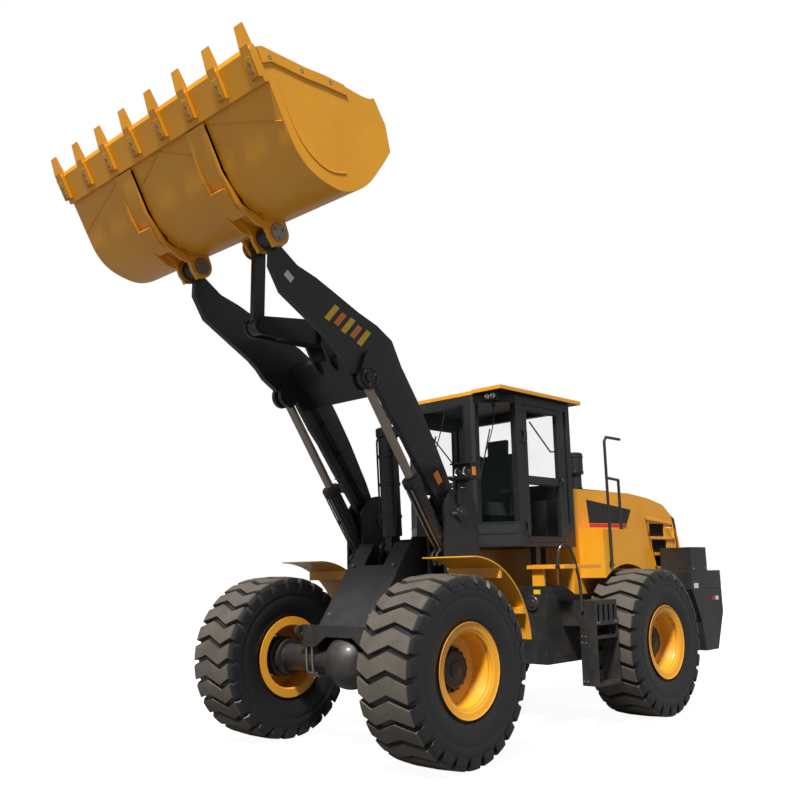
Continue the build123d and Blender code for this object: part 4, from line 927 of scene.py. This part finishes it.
# each wiper as (share along the corner, Z, distance out)
WIPER_ARM = ((0.52, 3262, 14), (0.58, 3100, 16), (0.30, 2760, 12))
WIPER_BLADE = ((0.42, 3010, 8), (0.30, 2760, 8), (0.17, 2490, 8))
SCREEN_WIPER_ARM = ((304, 60, 3290), (312, 40, 3100), (304, -150, 2740))
SCREEN_WIPER_BLADE = ((300, -90, 3000), (300, -150, 2740), (300, -205, 2480))
SCREEN_FRAME = ((289, 296, -300, -291, 2055, 3280), (289, 296, 291, 300, 2055, 3280),
                (289, 296, -291, 291, 2052, 2064), (289, 296, -291, 291, 3268, 3280))
WORK_LAMP = (165, 232, 548, 692, 3302, 3378)
WORK_LAMP_LENSES = ((232, 584, 3340), (232, 656, 3340))
WORK_LAMP_BOWL = ((0, 0.0), (0.022, 0.003), (0.030, 0.010), (0.033, 0.010), (0.033, 0))


def on_corner(share, z, out, side):
    """Point on the cab's slanting corner, from the front post to the door post."""
    return place(CORNER_START[0] + CORNER_RUN[0] * share + CORNER_OUT[0] * out,
                 side * (CORNER_START[1] + CORNER_RUN[1] * share + CORNER_OUT[1] * out), z)


trim, lights = bmesh.new(), bmesh.new()
for side in ACROSS:
    for s0, s1, z0, z1, out in CORNER_RIBS:
        plan = ((s0, 0), (s1, 0), (s1, out), (s0, out))
        loft(trim, [[on_corner(s, z, o, side) for s, o in plan] for z in (z0, z1)])
    pipe(trim, [on_corner(*p, side) for p in WIPER_ARM], 0.006)
    pipe(trim, [on_corner(*p, side) for p in WIPER_BLADE], 0.008)
    disc(trim, 0.022, 0.016, on_corner(*WIPER_ARM[0][:2], 0, side),
         Vector((CORNER_OUT[0], side * CORNER_OUT[1], 0)), 20)
    cuboid(lights, *WORK_LAMP, side=side)
    for spot in placed(side, WORK_LAMP_LENSES):
        lathe(lights, WORK_LAMP_BOWL, spot, AHEAD, 24, kind=1)
for box in SCREEN_FRAME:
    cuboid(trim, *box)
pipe(trim, placed(1, SCREEN_WIPER_ARM), 0.006)
pipe(trim, placed(1, SCREEN_WIPER_BLADE), 0.008)
piece(trim, "cab_trim", "rear_frame", BLACK_PLASTIC)
piece(lights, "work_lamps", "rear_frame", BLACK_PLASTIC, MIRROR, edge=0.004)


# Inside the cab. Moulded black consoles stand round the seat, with three levers at its
# right, an armrest and a yellow steel footplate at its left, and a pod for the dials ahead.
SIDE_CONSOLE = (-620, -180, -470, -310, 2060, 2320)
ARMREST = (-600, -300, 285, 355, 2380, 2430)
ARMREST_POST = (-480, -430, 300, 340, 2150, 2380)
REAR_CONSOLE = (-940, -700, -600, 600, 1842, 2300)
FOOTPLATE = (-740, -200, 560, 690, 1842, 1866)
POD_OUTLINE = ((112, 2112), (230, 2112), (230, 2330), (150, 2385), (92, 2300))
POD_HALF = 190
LEVER_X = (-260, -330, -400)
LEVER_Y = -390
LEVER_BEND = ((0, 2320), (10, 2380), (30, 2440))
KNOB = (32, 2452)
KNOB_PROFILE = ((0, -0.02), (0.018, -0.012), (0.022, 0), (0.018, 0.012), (0, 0.02))
inside = bmesh.new()
for box in (SIDE_CONSOLE, ARMREST, ARMREST_POST):
    cuboid(inside, *box)
slab(inside, POD_OUTLINE, -POD_HALF, POD_HALF)
cuboid(inside, *REAR_CONSOLE)
for x in LEVER_X:
    pipe(inside, [place(x + dx, LEVER_Y, z) for dx, z in LEVER_BEND], 0.008)
    lathe(inside, KNOB_PROFILE, place(x + KNOB[0], LEVER_Y, KNOB[1]), UP, 16)
cuboid(inside, *FOOTPLATE, kind=1)
piece(inside, "cab_inside", "rear_frame", BLACK_PLASTIC, YELLOW, edge=0.006)


# Hood. A dark strip lies along its top and a blank dark panel with a red underline on each
# side. Bars frame the three vents, with louvres in them, and slats cover the sloping rear.
HOOD_FACE = 680.2
PANEL_FACE = 682.4
UNDERLINE_FACE = 682.8
VENT_BAR_FACE = 692.2
STRIP_BOTTOM = 2.456
STRIP_HALF = 0.4305
PANEL_OUTLINE = ((-1379, 2335), (-2362, 2256), (-2246, 2084), (-1417, 2072))
UNDERLINE_OUTLINE = ((-1419, 2062), (-2240, 2074), (-2226, 2040), (-1425, 2029))
VENT_BARS = (((-2680, 2173), (-3390, 2119), (-3378, 2092), (-2700, 2142)),
             ((-2862, 1572), (-3428, 1566), (-3449, 1534), (-2897, 1541)),
             ((-2680, 2173), (-2700, 2142), (-2862, 1572), (-2897, 1541)),
             ((-3390, 2119), (-3378, 2092), (-3428, 1566), (-3449, 1534)),
             ((-2755, 1934), (-3395, 1934), (-3398, 1906), (-2763, 1906)),
             ((-2812, 1736), (-3412, 1736), (-3415, 1706), (-2820, 1706)))
GRAB_RAIL = ((-3236, 680, 2050), (-3240, 735, 2050), (-3330, 742, 2030), (-3400, 742, 1900), (-3420, 742, 1770),
             (-3340, 735, 1745), (-3330, 680, 1745))
VENTS = [(-2975 - 45 * k, 2020 - 200 * k) for k in range(3)]
VENT_HALF_X, VENT_HALF_Z = 190, 80
VENT_BACK = (610, 622)
LOUVRE_COUNT = 9
LOUVRE_PITCH = 18
LOUVRE_Y = 655
LOUVRE_LEAN = math.radians(38)
LOUVRE = (-189, 189, -20, 20, -1.5, 1.5)
EDGE_TRIM = ((-3384, 2211), (-3451, 2173), (-3563, 1730), (-3593, 1292), (-3530, 1292), (-3496, 1730),
             (-3392, 2145))
EDGE_TRIM_SPAN = (648, 684)
GRILLE_BACK = ((-3448, 2165), (-3558, 1728), (-3588, 1300), (-3592.5, 1300), (-3562.5, 1728), (-3452.5, 2166))
GRILLE_HALF = 600
# each stretch of the rear's slope as (X, Z) of its first and last slat, and how many pitches
GRILLE_RUNS = (((-3456, 2150), (-3554, 1752), 10), ((-3566, 1700), (-3590, 1330), 9))
SLAT = (-14, 14, -560, 560, -3, 3)
SLAT_OUT = 10
SLAT_TILT = 0.5


def at_origin(x, y, z):
    return Vector((x, y, z)) / 1000


def blades(name, size, spots):
    """One thin box repeated at each spot."""
    seed = bmesh.new()
    cuboid(seed, *size, frame=at_origin)
    repeated(name, "rear_frame", seed, spots, BLACK_PLASTIC)


also(GREY, "hood", lambda middle, normal: middle.z > STRIP_BOTTOM and abs(middle.y) < STRIP_HALF)
panel, vents = bmesh.new(), bmesh.new()
louvres, slats = [], []
for side in ACROSS:
    slab(panel, PANEL_OUTLINE, HOOD_FACE, PANEL_FACE, side=side)
    slab(panel, UNDERLINE_OUTLINE, HOOD_FACE, UNDERLINE_FACE, kind=1, side=side)
    for outline in VENT_BARS:
        slab(vents, outline, HOOD_FACE, VENT_BAR_FACE, side=side)
    pipe(vents, placed(side, GRAB_RAIL), 0.011)
    for x, z in VENTS:
        cuboid(panel, x - VENT_HALF_X, x + VENT_HALF_X, *VENT_BACK, z - VENT_HALF_Z, z + VENT_HALF_Z,
               kind=2, side=side)
        lowest = z - LOUVRE_PITCH * (LOUVRE_COUNT - 1) / 2
        louvres += [(place(x, side * LOUVRE_Y, lowest + LOUVRE_PITCH * n), (side * LOUVRE_LEAN, 0, 0))
                    for n in range(LOUVRE_COUNT)]
    slab(panel, EDGE_TRIM, *EDGE_TRIM_SPAN, kind=2, side=side)
slab(panel, GRILLE_BACK, -GRILLE_HALF, GRILLE_HALF, kind=2)
piece(panel, "hood_panels", "rear_frame", BLACK_PLASTIC, MARK_RED, GREY)
piece(vents, "hood_vents", "rear_frame", YELLOW, edge=0.002)
blades("hood_louvres", LOUVRE, louvres)
for (x0, z0), (x1, z1), pitches in GRILLE_RUNS:
    turn = math.atan2(x1 - x0, z1 - z0) + math.pi + SLAT_TILT
    slats += [(place(x0 + (x1 - x0) * n / pitches - SLAT_OUT, 0, z0 + (z1 - z0) * n / pitches), (0, turn, 0))
              for n in range(pitches + 1)]
blades("rear_grille", SLAT, slats)


# Air pre-cleaner. A moulded black bowl stands on a neck through the hood, clamped by bands
# and closed by a low domed lid.
CLEANER = (-1860, 250)
CLEANER_NECK_RADII = (0.071, 0.078)
CLEANER_BOWL_RADII = (0.095, 0.101)
CLEANER_LID = ((0.097, -0.006), (0.097, 0.002), (0.082, 0.016), (0.045, 0.024), (0, 0.026))
stack = bmesh.new()
band(stack, CLEANER_NECK_RADII, 0, 0.028, 0.004, place(*CLEANER, 2505), UP, 32)
for z in (2700, 2890):
    band(stack, CLEANER_BOWL_RADII, 0, 0.026, 0.004, place(*CLEANER, z), UP, 40)
lathe(stack, CLEANER_LID, place(*CLEANER, 2934), UP, 40)
piece(stack, "precleaner_rings", "rear_frame", BLACK_PLASTIC)


# Sides of the rear body. The side boxes carry a reflector and a round filler cap, studs grip
# the platforms, a hooped rail leads down to the steps, and bolts hold steps and handrails.
REFLECTOR = (-120, -114, 800, 880, 1322, 1366)
FILLER = (-120, 777, 1230)
FILLER_CAP = ((0.078, 0), (0.078, 0.010), (0.070, 0.017), (0.040, 0.017), (0.037, 0.026), (0, 0.026))
BOX_SEAMS = ((-560, -150, 930, 932, 1338, 1344), (-790, -150, 930, 932, 700, 706),
             (-156, -150, 930, 932, 706, 1338))
HOOP = ((-112, 1110, 1588), (-112, 1110, 1700), (-150, 1125, 1795), (-225, 1150, 1815), (-300, 1165, 1730),
        (-385, 1172, 1480), (-394, 1178, 1300), (-394, 1180, 1150))
HOOP_RADIUS = 0.016
# handrail feet with their radius, each beside the plate that holds handrail or hoop
RAIL_FEET = (((-1290, 1016.3, 1592), 0.038, (-1312, -1268, 1000.5, 1006, 1570, 1640)),
             ((-1640, 956.3, 1990.5), 0.034, (-110, -104, 1085, 1135, 1572, 1606)))
STUD_GRID = [(-780 + 45 * i, 748 + 45 * j, 1608) for i in range(15) for j in range(10)]
STEP_BOLTS = [(-410, y, z) for y in (1150, 1192) for z in (900, 840, 470)]
PLATE_BOLTS = [(x, 1320, 1034) for x in (-796, -760, -466, -430)]
fitted, railing = bmesh.new(), bmesh.new()
studs = []
for side in ACROSS:
    cuboid(fitted, *REFLECTOR, kind=1, side=side)
    lathe(fitted, FILLER_CAP, *placed(side, [FILLER]), AHEAD, 40)
    for seam in BOX_SEAMS:
        cuboid(fitted, *seam, side=side)
    pipe(railing, placed(side, HOOP), HOOP_RADIUS, roundness=2)
    for foot, radius, plate in RAIL_FEET:
        disc(railing, radius, 0.008, *placed(side, [foot]), UP, 24)
        cuboid(railing, *plate, side=side)
    studs += [(spot, (0, 0, 0)) for spot in placed(side, STUD_GRID)]
piece(fitted, "side_box_fittings", "rear_frame", GREY, MARK_YELLOW, edge=0.001)
piece(railing, "hoop_rails", "rear_frame", GREY)
repeated("platform_studs", "rear_frame", nut(0.006, 0.004), studs, YELLOW)
bolts("step_bolts", "rear_frame", placed(1, STEP_BOLTS) + placed(-1, STEP_BOLTS), AHEAD, 0.010)
side_bolts("plate_bolts_", "rear_frame", PLATE_BOLTS, 0.010)


# Tail. The counterweight carries a blank plate, reflectors and a raised seam on each side,
# two round lamps behind each shoulder box, and bolts there and in its sloping rear face.
# boxes on each side, with their finish
SIDE_PLATES = ((-3065, -2955, 1130, 1132, 1303, 1363, 1), (-3490, -3410, 1130, 1135, 1150, 1196, 2),
               (-3580, -3510, 1130, 1135, 1150, 1196, 1), (-3688, -2905, 1130, 1132, 1292, 1298, 0))
TAIL_LAMPS = (((-3340, 1010, 1655), 2), ((-3340, 860, 1655), 3))
TAIL_BEZEL = ((0.066, 0), (0.066, 0.014), (0.058, 0.018), (0.056, 0.012))
TAIL_LENS = ((0.056, 0.004), (0.056, 0.014), (0.040, 0.020), (0, 0.023))
TAIL_BOLTS = ((-3290, 1130, 1534), (-2970, 1130, 1534))
WEIGHT_BOLTS = [(x, y, z) for y in (-1000, -820, 820, 1000) for x, z in ((-3547, 700), (-3642, 900))]
WEIGHT_OUT = (-0.9025, 0, -0.4308)
RED_LENS = flat_paint("red_lens", (0.50, 0.012, 0.01, 1), 0.2)
tail = bmesh.new()
for side in ACROSS:
    for *box, kind in SIDE_PLATES:
        cuboid(tail, *box, kind=kind, side=side)
    for lamp, kind in TAIL_LAMPS:
        lathe(tail, TAIL_BEZEL, *placed(side, [lamp]), -AHEAD, 32)
        lathe(tail, TAIL_LENS, *placed(side, [lamp]), -AHEAD, 32, kind=kind)
piece(tail, "tail_fittings", "rear_frame", BLACK_PLASTIC, MARK_WHITE, RED_LENS, AMBER)
side_bolts("tail_bolts_", "rear_frame", TAIL_BOLTS, 0.012)
bolts("weight_bolts", "rear_frame", placed(1, WEIGHT_BOLTS), WEIGHT_OUT, 0.020)


# Front axle. U-bolts bent from round steel bar clamp its housing up against the pads of
# the front frame, two on each side.
U_BOLT_Y = (390, 472)
U_BOLT = ((1792, 1024), (1792, 760), (1770, 640), (1650, 622), (1530, 640), (1508, 760), (1508, 1024))
U_BOLT_RADIUS = 0.013
clamps = bmesh.new()
for side in ACROSS:
    for y in U_BOLT_Y:
        pipe(clamps, [place(x, side * y, z) for x, z in U_BOLT], U_BOLT_RADIUS)
piece(clamps, "axle_bolts", "front_frame", BARE_STEEL)


# Tilt cylinder. Its barrel has a turned gland round the rod, three clamping bands and a
# steel feed pipe up each side, all in the frame's charcoal.
TILT_FOOT = (1080, 0, 1790)
TILT_ALONG = Vector((0.04515, 0, 0.99898))
TILT_GLAND = ((0.100, 1.105), (0.112, 1.112), (0.118, 1.120), (0.118, 1.190), (0.110, 1.200), (0.070, 1.212),
              (0.052, 1.214), (0.052, 1.19))
TILT_BAND_RADII = (0.0985, 0.106)
TILT_BAND_STARTS = (0.30, 0.62, 0.90)
# feed pipe as (height along the barrel, distance from its middle plane)
TILT_PIPE = ((0.20, 0.09), (0.22, 0.112), (0.5, 0.114), (1.0, 0.114), (1.09, 0.112), (1.11, 0.09))
TILT_PIPE_AHEAD = 0.045
rings = bmesh.new()
lathe(rings, TILT_GLAND, place(*TILT_FOOT), TILT_ALONG, 44)
for start in TILT_BAND_STARTS:
    band(rings, TILT_BAND_RADII, start, 0.035, 0.003, place(*TILT_FOOT), TILT_ALONG, 44)
for side in ACROSS:
    pipe(rings, [place(*TILT_FOOT) + TILT_ALONG * height + Vector((TILT_PIPE_AHEAD, side * y, 0))
                 for height, y in TILT_PIPE], 0.010)
piece(rings, "tilt_fittings", "tilt_barrel", GREY)
